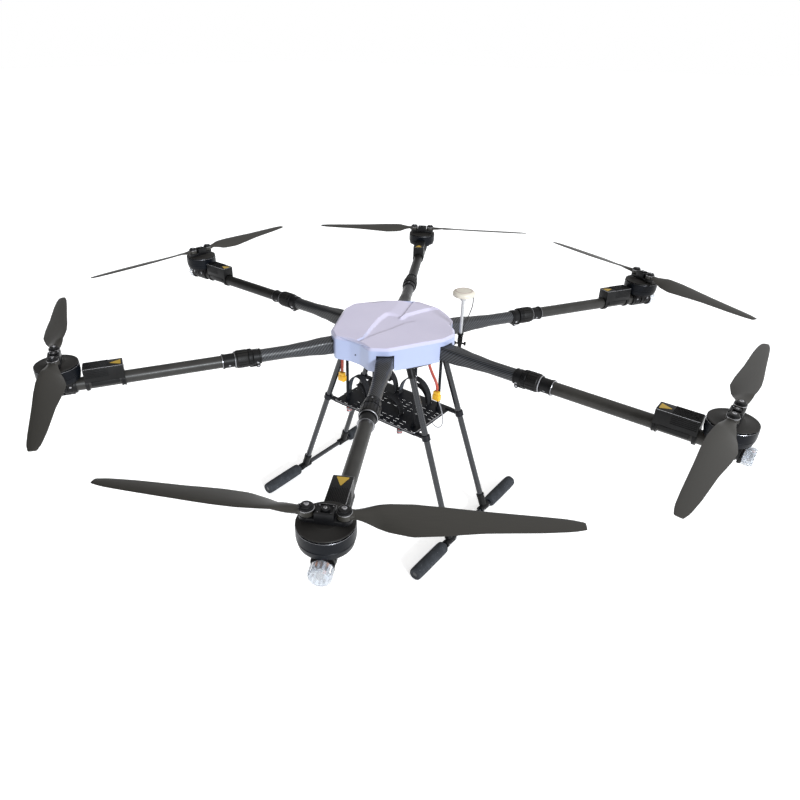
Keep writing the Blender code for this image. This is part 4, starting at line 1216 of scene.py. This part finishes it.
# %% Legs
corners = {"front_left": (1, -1), "rear_left": (1, 1), "front_right": (-1, -1),
           "rear_right": (-1, 1)}
run = (LEG_FOOT - LEG_TOP).normalized()
leg = dressed(rod(LEG_TOP - run * 0.001, LEG_FOOT - run * 0.0125, 0.008, 32, name="leg"),
              GLOSS_TUBE)
turn_to_leg = run.to_track_quat("Z", "Y").to_matrix().to_4x4()
socket = turned([(0.0083, 0.0), (0.0125, 0.0), (0.0130, 0.0012), (0.0130, 0.0050), (0.0100, 0.0064),
                 (0.0100, 0.0300), (0.0104, 0.0308), (0.0104, 0.0342), (0.0098, 0.0350),
                 (0.0083, 0.0350)], closed=True, steps=32)
socket.data.transform(Matrix.Translation(LEG_TOP) @ turn_to_leg)
foot_turn = (-run).to_track_quat("Z", "Y").to_matrix().to_4x4()
grip = turned([(0.0083, 0.010), (0.0105, 0.010), (0.0105, 0.0360), (0.0110, 0.0366),
               (0.0110, 0.0440), (0.0104, 0.0450), (0.0083, 0.0450)], closed=True, steps=32)
grip.data.transform(Matrix.Translation(LEG_FOOT) @ foot_turn)
sleeve = turned([(0.0074, -0.0200), (0.0100, -0.0200), (0.0105, -0.0194), (0.0105, -0.0130),
                 (0.0100, -0.0124), (0.0100, 0.0124), (0.0105, 0.0130), (0.0105, 0.0194),
                 (0.0100, 0.0200), (0.0074, 0.0200)],
                LEG_FOOT, "Y", closed=True, steps=32)
tee = dressed(joined("tee", socket, grip, sleeve), BLACK_METAL)
heads = [screw(LEG_FOOT + Vector((0.0098, side * 0.014, 0.003)), (1, 0, 0.3), 0.0020)
         for side in (-1, 1)]
heads.append(screw(LEG_FOOT - run * 0.040 + Vector((0.0095, 0, 0.0052)), (0.9, 0, 0.45), 0.0020))
heads.append(screw(LEG_TOP + run * 0.0325 + Vector((0.0090, -0.0040, 0.0030)), (0.9, -0.3, 0.3),
                   0.0020))
heads = dressed(joined("heads", *heads), SCREW_METAL)
for name, (sx, sy) in corners.items():
    for source, label, slot, nodes in ((leg, "leg_tube", "gloss_tube", ["leg_" + name]),
                                       (tee, "leg_tee", "black_anodised", []),
                                       (heads, "leg_screws", "black_anodised", [])):
        copy = bpy.data.objects.new(label, source.data.copy())
        copy.data.transform(mirrored(sx, sy))
        if sx * sy < 0:
            copy.data.flip_normals()
        bpy.context.collection.objects.link(copy)
        hand_over(copy, label + "_" + name, "airframe", slot, *nodes)
for piece in (leg, tee, heads):
    bpy.data.objects.remove(piece)
print("4 legs")

# %% [markdown]
# ## Skids and their foam
# Each skid is one thin rod across both legs. The soft sleeves on its ends keep a rounded form and
# ride on the airframe.

# %% Skids and foam
for side, side_name in ((1, "left"), (-1, "right")):
    bar = turned([(0, -0.2490), (0.0064, -0.2490), (0.0070, -0.2484), (0.0070, 0.2484),
                  (0.0064, 0.2490), (0, 0.2490)],
                 (side * SKID_X, 0, SKID_Z), "Y", steps=32)
    hand_over(dressed(bar, GLOSS_TUBE), "skid_tube_" + side_name, "airframe", "gloss_tube",
              "skid_" + side_name)
    for end, end_name in ((-1, "front"), (1, "rear")):
        pad = turned([(0.0069, 0.1200), (0.0135, 0.1200), (0.0152, 0.1208), (0.0162, 0.1230),
                      (0.0167, 0.1300), (0.0170, 0.1500), (0.0170, 0.2250), (0.0166, 0.2430),
                      (0.0160, 0.2475), (0.0150, 0.2494), (0.0130, 0.2500), (0.0069, 0.2500)],
                     (0, 0, 0), steps=40, closed=True, smooth=50)
        pad.data.transform(shift(side * SKID_X, 0, SKID_Z) @ mirrored(1, end) @ ALONG["Y"])
        if end < 0:
            pad.data.flip_normals()
        hand_over(dressed(pad, FOAM), "foam_" + side_name + "_" + end_name, "airframe",
                  "foam_rubber")

# %% [markdown]
# ## Battery tray
# A thin plate with rows of short slots hangs on four rods and is clamped to the legs. A bright wire
# rail runs round its front and one side, and four soft dampers hang below.

# %% Where the straps go
# Each strap has its place along the drone, then (middle, half width, height) of each of its arches.
STRAPS = {"front": (-0.028, ((-0.098, 0.036, 0.066), (0.012, 0.040, 0.046))),
          "rear": (0.066, ((-0.068, 0.032, 0.056), (0.030, 0.050, 0.066)))}
STRAP_Y = [y for y, arches in STRAPS.values()]
print("straps at", STRAP_Y)

# %% Tray plate and slots
plate = block((2 * TRAY_X, 2 * TRAY_Y, TRAY_T), (0, 0, TRAY_Z + TRAY_T / 2), 0.0004)
tools = []
for row in range(13):
    for column in range(12):
        x, y = -0.1265 + 0.0230 * column, -0.0780 + 0.0130 * row
        clear_of_straps = all(abs(y - strap_y) > 0.016 for strap_y in STRAP_Y)
        clear_of_hangers = abs(abs(x) - HANGER_X) + abs(abs(y) - HANGER_Y) > 0.020
        if clear_of_straps and clear_of_hangers:
            tools.append(block((0.0130, 0.0041, 0.01), (x, y, TRAY_Z), 0.0))
for y, arches in STRAPS.values():
    for centre, half, height in arches:
        for x in (centre - half, centre + half):
            tools.append(block((0.005, 0.024, 0.01), (x, y, TRAY_Z), 0.0))
plate = cut(plate, joined("slots", *tools))
# %% Hangers and clamps
share = (LEG_TOP.z - TRAY_Z - TRAY_T / 2) / (LEG_TOP.z - LEG_FOOT.z)
grip_at = LEG_TOP.lerp(LEG_FOOT, share)


def upright(low, high, radius, sides, edge=0.0):
    return rod((HANGER_X, HANGER_Y, low), (HANGER_X, HANGER_Y, high), radius, sides, edge)


fittings = [upright(TRAY_Z - 0.001, PLATE_Z, 0.0040, 20),
            upright(0.4780, PLATE_Z + 0.0001, 0.0070, 20, 0.0006),
            upright(TRAY_Z + 0.0025, TRAY_Z + 0.0105, 0.0068, 6, 0.0004),
            upright(TRAY_Z - 0.0045, TRAY_Z, 0.0062, 6, 0.0004),
            block((0.044, 0.0135, 0.0070), (0.1500, grip_at.y, TRAY_Z + TRAY_T / 2), 0.0008)]
ring = turned([(0.0083, -0.0075), (0.0106, -0.0075), (0.0112, -0.0069), (0.0112, 0.0069),
               (0.0106, 0.0075), (0.0083, 0.0075)], closed=True, steps=32)
ring.data.transform(Matrix.Translation(grip_at) @ turn_to_leg)
fittings.append(ring)
fitting = joined("fitting", *fittings)
copies = repeated(fitting, *[mirrored(sx, sy) for sx, sy in corners.values()])
for (sx, sy), copy in zip(corners.values(), copies):
    if sx * sy < 0:
        copy.data.flip_normals()
hand_over(dressed(joined("tray", plate, *copies), TRAY_BLACK), "tray_plate", "airframe",
          "black_anodised", "battery_tray")
bolts = []
for sx, sy in corners.values():
    bolts.append(screw((sx * HANGER_X, sy * HANGER_Y, TRAY_Z + 0.0100), (0, 0, 1), 0.0030))
    bolts.append(screw((sx * 0.1545, sy * grip_at.y, TRAY_Z + 0.0047), (0, 0, 1), 0.0022))
hand_over(dressed(joined("tray_bolts", *bolts), SCREW_METAL), "tray_bolts", "airframe",
          "black_anodised")
print("tray", len(plate.data.polygons), "faces")

# %% [markdown]
# ## Dampers and the wire rail
# Four soft clear dampers with red nubs hang under the tray. The rail is one bent bright wire: a
# curve with a round bevel is quickest, and its centreline is already in place.

# %% Bent wire
def wire(points, radius, name, resolution=3):
    curve = bpy.data.curves.new(name, "CURVE")
    curve.dimensions = "3D"
    curve.bevel_depth = radius
    curve.bevel_resolution = resolution
    curve.use_fill_caps = True
    spline = curve.splines.new("POLY")
    spline.points.add(len(points) - 1)
    for spot, place in zip(spline.points, points):
        spot.co = (*place, 1)
    made = bpy.data.objects.new(name, curve)
    bpy.context.collection.objects.link(made)
    return made


def meshed(curve):
    take(curve)
    bpy.ops.object.convert(target="MESH")
    made = bpy.context.object
    edit(made)
    bpy.ops.mesh.normals_make_consistent(inside=False)
    return done(made, 50)

# %% Dampers
clear, red = [], []
for sx, sy in corners.values():
    at = (sx * 0.088, sy * 0.083, 0)
    clear.append(turned([(0, 0.2830), (0.0062, 0.2830), (0.0074, 0.2838), (0.0078, 0.2860),
                         (0.0064, 0.2885), (0.0078, 0.2915), (0.0078, 0.2945), (0.0064, 0.2958),
                         (0, 0.2962)], at, steps=24))
    red.append(turned([(0, 0.2955), (0.0050, 0.2955), (0.0054, 0.2962), (0.0054, 0.2984),
                       (0, 0.2984)], at, steps=16))
    red.append(turned([(0.0066, 0.2878), (0.0074, 0.2880), (0.0074, 0.2892), (0.0066, 0.2894)], at,
                      steps=20, closed=True))
    red.append(turned([(0, 0.2822), (0.0026, 0.2822), (0.0028, 0.2828), (0.0028, 0.2832),
                       (0, 0.2832)], at, steps=16))
hand_over(dressed(joined("dampers", *clear), DAMPER_CLEAR), "damper_rubbers", "airframe",
          "black_anodised")
hand_over(dressed(joined("damper_bits", *red), DAMPER_RED), "damper_nubs", "airframe",
          "black_anodised")

# %% Wire rail
Y0, X0, RAIL = -0.0915, 0.1400, TRAY_Z + 0.0075
rail_path = [(-0.132, Y0 + 0.010, RAIL - 0.004), (-0.1330, Y0 + 0.004, RAIL - 0.001),
             (-0.1310, Y0 + 0.001, RAIL), (-0.120, Y0, RAIL), (0.120, Y0, RAIL),
             (0.1330, Y0 + 0.001, RAIL), (0.1385, Y0 + 0.0045, RAIL), (X0, Y0 + 0.012, RAIL),
             (X0, 0.030, RAIL), (X0 - 0.0005, 0.040, RAIL - 0.001),
             (X0 - 0.003, 0.046, RAIL - 0.004)]
rail = meshed(wire(rail_path, 0.0013, "rail"))
hand_over(dressed(rail, BRIGHT_METAL), "tray_rail", "airframe", "black_anodised")
stands = [block((0.0045, 0.0060, 0.0080), (x, Y0 + 0.0022, TRAY_Z + 0.0050), 0.0006)
          for x in (-0.105, 0.0, 0.105)]
stands += [block((0.0060, 0.0045, 0.0080), (X0 - 0.0022, y, TRAY_Z + 0.0050), 0.0006)
           for y in (-0.050, 0.020)]
hand_over(dressed(joined("stands", *stands), TRAY_BLACK), "rail_stands", "airframe",
          "black_anodised")

# %% [markdown]
# ## Battery straps
# Each strap is webbing that runs under the tray and rises through the slots in two open arches. A
# grid is bent along that path, given thickness, and its UV carries the ribs. The free tails are the
# strap's grey inner face.

# %% Strap helpers
def smooth_route(points, spacing):
    """A curve through the given points, as closely spaced points."""
    points = [Vector(point) for point in points]
    route = [points[0]]
    for k in range(len(points) - 1):
        before = points[k - 1] if k else points[0] * 2 - points[1]
        start, end = points[k], points[k + 1]
        after = points[k + 2] if k + 2 < len(points) else end * 2 - start
        steps = max(1, round((end - start).length / spacing))
        for step in range(1, steps + 1):
            t = step / steps
            slope = (end - before) * t
            bend = (2 * before - 5 * start + 4 * end - after) * t ** 2
            swing = (3 * start - before - 3 * end + after) * t ** 3
            route.append(0.5 * (2 * start + slope + bend + swing))
    return route


ARCH_STEPS = 24


def strap_path(arches):
    """Under the tray, up through each pair of slots in an arch, and out again."""
    under, spring = TRAY_Z - 0.0005 - 0.0008, TRAY_Z + TRAY_T + 0.004
    path = [(arches[0][0] - arches[0][1] - 0.012, under)]
    for centre, half, height in arches:
        path += [(centre - half, under), (centre - half, spring - 0.002)]
        for k in range(1, ARCH_STEPS):
            angle = math.pi * (1 - k / ARCH_STEPS)
            path.append((centre + half * math.cos(angle),
                         spring + (height - 0.004) * math.sin(angle)))
        path += [(centre + half, spring - 0.002), (centre + half, under)]
    return path + [(arches[-1][0] + arches[-1][1] + 0.012, under)]


def strap(path, y, width, thickness, name):
    """Webbing along a path of (x, z) points, with the length in its UV."""
    lengths = [0.0]
    for a, b in zip(path, path[1:]):
        lengths.append(lengths[-1] + math.dist(a, b))
    deselect()
    bpy.ops.mesh.primitive_grid_add(x_subdivisions=len(path) - 1, y_subdivisions=4, size=1)
    made = bpy.context.object
    made.name = name
    mesh = made.data
    for corner in mesh.uv_layers.active.data:
        step = int(corner.uv[0] * (len(path) - 1) + 0.5)
        corner.uv = (lengths[step], corner.uv[1] * width)
    for vert in mesh.vertices:
        x, z = path[int((vert.co.x + 0.5) * (len(path) - 1) + 0.5)]
        vert.co = (x, y + vert.co.y * width, z)
    wall = made.modifiers.new("thickness", "SOLIDIFY")
    wall.thickness = thickness
    wall.offset = 0
    settle(made)
    edit(made)
    bpy.ops.mesh.normals_make_consistent(inside=False)
    return done(made, 50)

# %% Straps
for name, (y, arches) in STRAPS.items():
    outer = dressed(strap(strap_path(arches), y, 0.020, 0.0015, "strap"), WEBBING)
    hand_over(outer, "strap_web_" + name, "airframe", "webbing", "battery_strap_" + name)
    for number, (centre, half, height) in enumerate(arches):
        inner = []
        for k in range(1, ARCH_STEPS):
            angle = math.pi * (1 - k / ARCH_STEPS)
            inner.append((centre + (half - 0.0012) * math.cos(angle),
                          TRAY_Z + TRAY_T + 0.004 + (height - 0.0052) * math.sin(angle)))
        lining = dressed(strap(inner, y, 0.0180, 0.0010, "lining"), WEBBING_GREY)
        hand_over(lining, "strap_lining_" + name + "_" + str(number + 1), "airframe", "webbing")
# %% Loose tails
TAILS = {"front_1": (-0.028, -0.098,
                     ((0.030, 0.003), (0.024, 0.022), (0.012, 0.036), (-0.004, 0.040))),
         "front_2": (-0.034, 0.012,
                     ((-0.052, 0.0035), (-0.056, 0.016), (-0.053, 0.030), (-0.046, 0.042))),
         "front_3": (-0.022, 0.012,
                     ((0.034, 0.003), (0.030, 0.020), (0.016, 0.030), (-0.004, 0.026))),
         "rear_1": (0.066, 0.030,
                    ((0.044, 0.003), (0.038, 0.028), (0.020, 0.044), (-0.006, 0.046))),
         "rear_2": (0.066, -0.068,
                    ((-0.026, 0.003), (-0.020, 0.026), (-0.004, 0.036), (0.014, 0.028)))}
for name, (y, centre, spots) in TAILS.items():
    line = [(p.x, p.z) for p in smooth_route([(centre + x, 0, TRAY_Z + TRAY_T + z) for x,
                                              z in spots], 0.005)]
    tail = dressed(strap(line, y, 0.0185, 0.0013, "tail"),
                   WEBBING_GREY if "front_2" in name else WEBBING)
    hand_over(tail, "strap_tail_" + name, "airframe", "webbing")
print(len(TAILS), "tails")

# %% [markdown]
# ## Power leads and plugs
# Two twin leads drop from the frame's plate, each a red and an orange wire side by side, and end in
# a yellow plug. They hang by their own weight: straight down out of the plate, then over to the
# plug in one easy bend.

# %% Leads
def length_of(route):
    return sum((b - a).length for a, b in zip(route, route[1:]))


LEADS = {"right": ((-0.095, -0.098, 0.4865), (-0.0953, -0.0983, 0.465), (-0.0947, -0.0997, 0.440),
                   (-0.095, -0.101, 0.4130)),
         "left": ((0.098, 0.020, 0.4865), (0.0983, 0.020, 0.470), (0.1040, 0.0192, 0.447),
                  (0.1165, 0.0168, 0.427), (0.1290, 0.0147, 0.411), (0.1348, 0.0138, 0.397),
                  (0.1350, 0.0138, 0.3865))}
for name, points in LEADS.items():
    route = smooth_route(points, 0.006)
    wires = []
    for side, sheath in ((-1, SHEATH_RED), (1, SHEATH_ORANGE)):
        apart = Vector((0, 1, 0)) if name == "left" else Vector((1, 0, 0))
        tube = meshed(wire([p + apart * side * 0.00225 for p in route], 0.00222, "wire", 4))
        wires.append(dressed(tube, sheath))
    lead = joined("lead", *wires)
    end = Vector(points[-1]) - Vector((0, 0, 0.0145))
    body = block((0.0205, 0.0125, 0.0160), end - Vector((0, 0, 0.0058)), 0.0012)
    edit(body, "FACE", lambda c, n: n.z < -0.9)
    bpy.ops.mesh.inset(thickness=0.0014)
    bpy.ops.mesh.extrude_region_move(TRANSFORM_OT_translate={"value": (0, 0, 0.0080)})
    done(body)
    neck = block((0.0170, 0.0105, 0.0100), end + Vector((0, 0, 0.0068)), 0.0010)
    ridges = [block((0.0150, 0.0131, 0.0012), end + Vector((0, 0, -0.0085 + 0.003 * k)), 0.0003)
              for k in range(4)]
    plug = dressed(joined("plug", body, neck, *ridges), PLUG_YELLOW)
    hand_over(plug, "plug_" + name, "airframe", "plug_yellow", "power_plug_" + name)
    hand_over(lead, "twin_lead_" + name, "airframe", "lead_sheath", "power_lead_" + name)
    tuple(route[0])
    length_of(route)
    [tuple(p) for p in route]
    print("lead", name, round(length_of(route), 4), "m")

# %% [markdown]
# ## The sense wire
# A thin pale wire leaves the left plug, swings out in a loop and comes back to the tray's edge. Its
# own stiffness shapes the loop, so it is drawn as one smooth route.

# %% Sense wire from the left plug to the tray
route = smooth_route([(0.1395, 0.0138, 0.3590), (0.1440, 0.0130, 0.3540), (0.1530, 0.0100, 0.3400),
                      (0.1620, 0.0060, 0.3220), (0.1660, 0.0020, 0.3040), (0.1620, -0.0020, 0.2920),
                      (0.1520, -0.0050, 0.2890), (0.1440, -0.0060, 0.2930),
                      (0.1395, -0.0065, 0.2985)], 0.004)
loop = dressed(wire(route, 0.0014, "loop"), WIRE_WHITE)
hand_over(loop, "sense_wire", "airframe", "antenna_white")
tuple(route[0])
length_of(route)
print("sense wire", round(length_of(route), 4), "m")

# %% [markdown]
# ## Antenna mast
# The positioning antenna is a cream puck on a pale rod that folds down at a small clevis. Its cable
# bows out from the puck and comes back to the rod's foot.

# %% Mast and puck
def on_mast(piece):
    piece.data.transform(MAST)
    return piece


LOW = PUCK_Z - MAST_PIVOT_Z
puck = turned([(0, LOW + 0.0150), (0.0100, LOW + 0.0150), (0.0175, LOW + 0.0146),
               (0.0225, LOW + 0.0138), (0.0255, LOW + 0.0122), (0.0270, LOW + 0.0100),
               (0.0275, LOW + 0.0085), (0.0275, LOW + 0.0068), (0.0271, LOW + 0.0063),
               (0.0271, LOW + 0.0056), (0.0275, LOW + 0.0050), (0.0270, LOW + 0.0025),
               (0.0245, LOW + 0.0002), (0, LOW)], steps=64, smooth=40)
hand_over(dressed(on_mast(puck), PUCK_CREAM), "antenna_puck", "gps_mast", "antenna_white",
          "gps_mast")
ring = turned([(0.0188, LOW + 0.0138), (0.0190, LOW + 0.0147), (0.0200, LOW + 0.0148),
               (0.0212, LOW + 0.0146), (0.0214, LOW + 0.0135)], steps=64, closed=True)
hand_over(dressed(on_mast(ring), PUCK_RING), "antenna_ring", "gps_mast", "antenna_white")
mast = [turned([(0, 0.010), (0.0040, 0.010), (0.0040, 0.1025), (0.0070, 0.1030), (0.0078, 0.1040),
                (0.0078, 0.1125), (0.0110, 0.1142), (0, 0.1142)], steps=28)]
hand_over(dressed(on_mast(joined("mast", *mast)), MAST_WHITE), "mast_rod", "gps_mast",
          "antenna_white")
foot = [turned([(0, 0.0088), (0.0072, 0.0088), (0.0080, 0.0095), (0.0080, 0.0134), (0.0074, 0.0140),
                (0, 0.0140)], steps=28),
        block((0.0076, 0.0080, 0.0100), (0, 0, 0.0050), 0.0008),
        rod((0, -0.0042, 0), (0, 0.0042, 0), 0.0060, 24)]
hand_over(dressed(on_mast(joined("foot", *foot)), BLACK_METAL), "mast_foot", "gps_mast",
          "black_anodised")

# %% Antenna cable
route = smooth_route([MAST @ Vector(p)
                      for p in ((0.0235, 0, 0.1137), (0.0245, 0, 0.1030), (0.0235, 0, 0.0880),
                                                 (0.0185, 0, 0.0690), (0.0125, 0, 0.0500),
                                (0.0078, 0, 0.0350),
                                                 (0.0061, 0, 0.0220), (0.0060, 0, 0.0143))], 0.005)
cable = dressed(wire(route, 0.00125, "cable"), WIRE_BLACK)
hand_over(cable, "antenna_cable", "gps_mast", "cable_black", "gps_cable")
tuple(route[0])
length_of(route)
print("antenna cable", round(length_of(route), 4), "m")

# %% [markdown]
# ## Bracket knobs
# Two thumbscrews cross under the hinge, and two knobs clamp its pin. All four stay with the frame
# when the mast folds.

# %% Thumbscrews and knobs
thumbs = [rod((-0.0140, 0, -0.0150), (0.0140, 0, -0.0150), 0.0022, 16)]
for side in (-1, 1):
    thumbs.append(rod((side * 0.0105, 0, -0.0150), (side * 0.0155, 0, -0.0150), 0.0052, 20))
hand_over(dressed(on_mast(joined("thumbs", *thumbs)), BLACK_METAL), "mast_thumbscrews", "airframe",
          "black_anodised")
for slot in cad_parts["gps_mount"].material_slots:
    slot.material = BLACK_METAL
knobs = [turned([(0, 0.0085), (0.0056, 0.0085), (0.0062, 0.0092), (0.0062, 0.0135),
                 (0.0054, 0.0142), (0, 0.0142)],
                (0, 0, 0), "Y", steps=18)]
knobs.append(turned([(0, -0.0142), (0.0054, -0.0142), (0.0062, -0.0135), (0.0062, -0.0092),
                     (0.0056, -0.0085), (0, -0.0085)], (0, 0, 0), "Y", steps=18))
hand_over(dressed(on_mast(joined("knobs", *knobs)), BLACK_METAL), "bracket_knobs", "airframe",
          "black_anodised")

# %% [markdown]
# ## Floor and light
# A pale floor that glows a little keeps the shadows faint. A broad warm lamp hangs above, and a
# cooler sun comes low through a window on the right. The sky is white near the horizon, bright high
# up on the window's side and dim on the other, so black parts get shape from what they mirror.

# %% Floor
deselect()
bpy.ops.mesh.primitive_plane_add(size=60, location=(0, 0, 0))
floor = bpy.context.object
floor.name = "floor"
paper, tree, shader = new_finish("paper", 0.9, spec=0.2)
place = add(tree, "TexCoord").outputs["Object"]
tree.links.new(ramp(tree, noise(tree, place, 2.0), (0.3, (0.93, 0.93, 0.93)),
                    (0.7, (0.96, 0.96, 0.96))),
               shader.inputs["Base Color"])
shader.inputs["Emission Color"].default_value = (1, 1, 1, 1)
shader.inputs["Emission Strength"].default_value = 0.50
floor.data.materials.append(paper)
print("floor", floor.name)

# %% Lamp and sun
def lamp(name, place, target, size, power, colour):
    data = bpy.data.lights.new(name, "AREA")
    data.size = size
    data.energy = power
    data.color = colour
    made = bpy.data.objects.new(name, data)
    made.location = place
    made.rotation_euler = (Vector(target) - Vector(place)).to_track_quat("-Z", "Y").to_euler()
    bpy.context.collection.objects.link(made)


lamp("overhead", (-0.3, 0.5, 3.2), (0, 0, 0.4), 3.0, 14, (1.0, 0.95, 0.90))


def sun(name, place, strength, soft, colour):
    data = bpy.data.lights.new(name, "SUN")
    data.energy = strength
    data.angle = math.radians(soft)
    data.color = colour
    made = bpy.data.objects.new(name, data)
    made.rotation_euler = Vector(place).to_track_quat("Z", "Y").to_euler()
    bpy.context.collection.objects.link(made)


sun("window", (1.7, -0.85, 0.72), 3.1, 9, (0.90, 0.95, 1.0))

# %% Sky
world = bpy.data.worlds.new("sky")
world.use_nodes = True
tree = world.node_tree
split = add(tree, "SeparateXYZ")
tree.links.new(add(tree, "TexCoord").outputs["Generated"], split.inputs[0])
side_light = sums(tree, "ADD", sums(tree, "MULTIPLY", split.outputs[0], 0.55),
                  sums(tree, "MULTIPLY", split.outputs[1], 0.35))
high_sky = spread(tree, sums(tree, "ADD", side_light, 0.5), 0.06, 1.05)
height = add(tree, "MapRange")
height.inputs["From Min"].default_value = 0.10
height.inputs["From Max"].default_value = 0.22
tree.links.new(split.outputs[2], height.inputs["Value"])
blend = add(tree, "Mix")
tree.links.new(height.outputs["Result"], blend.inputs["Factor"])
blend.inputs[2].default_value = 1.0
tree.links.new(high_sky, blend.inputs[3])
tree.links.new(blend.outputs[0], tree.nodes["Background"].inputs["Strength"])
tree.nodes["Background"].inputs["Color"].default_value = (1.0, 1.0, 1.0, 1)
bpy.context.scene.world = world
print("lights", len(bpy.data.lights))

# %% [markdown]
# ## The end
# The visual model must stay in the CAD's box. The script ends by clearing the selection.

# %% Finish
deselect()
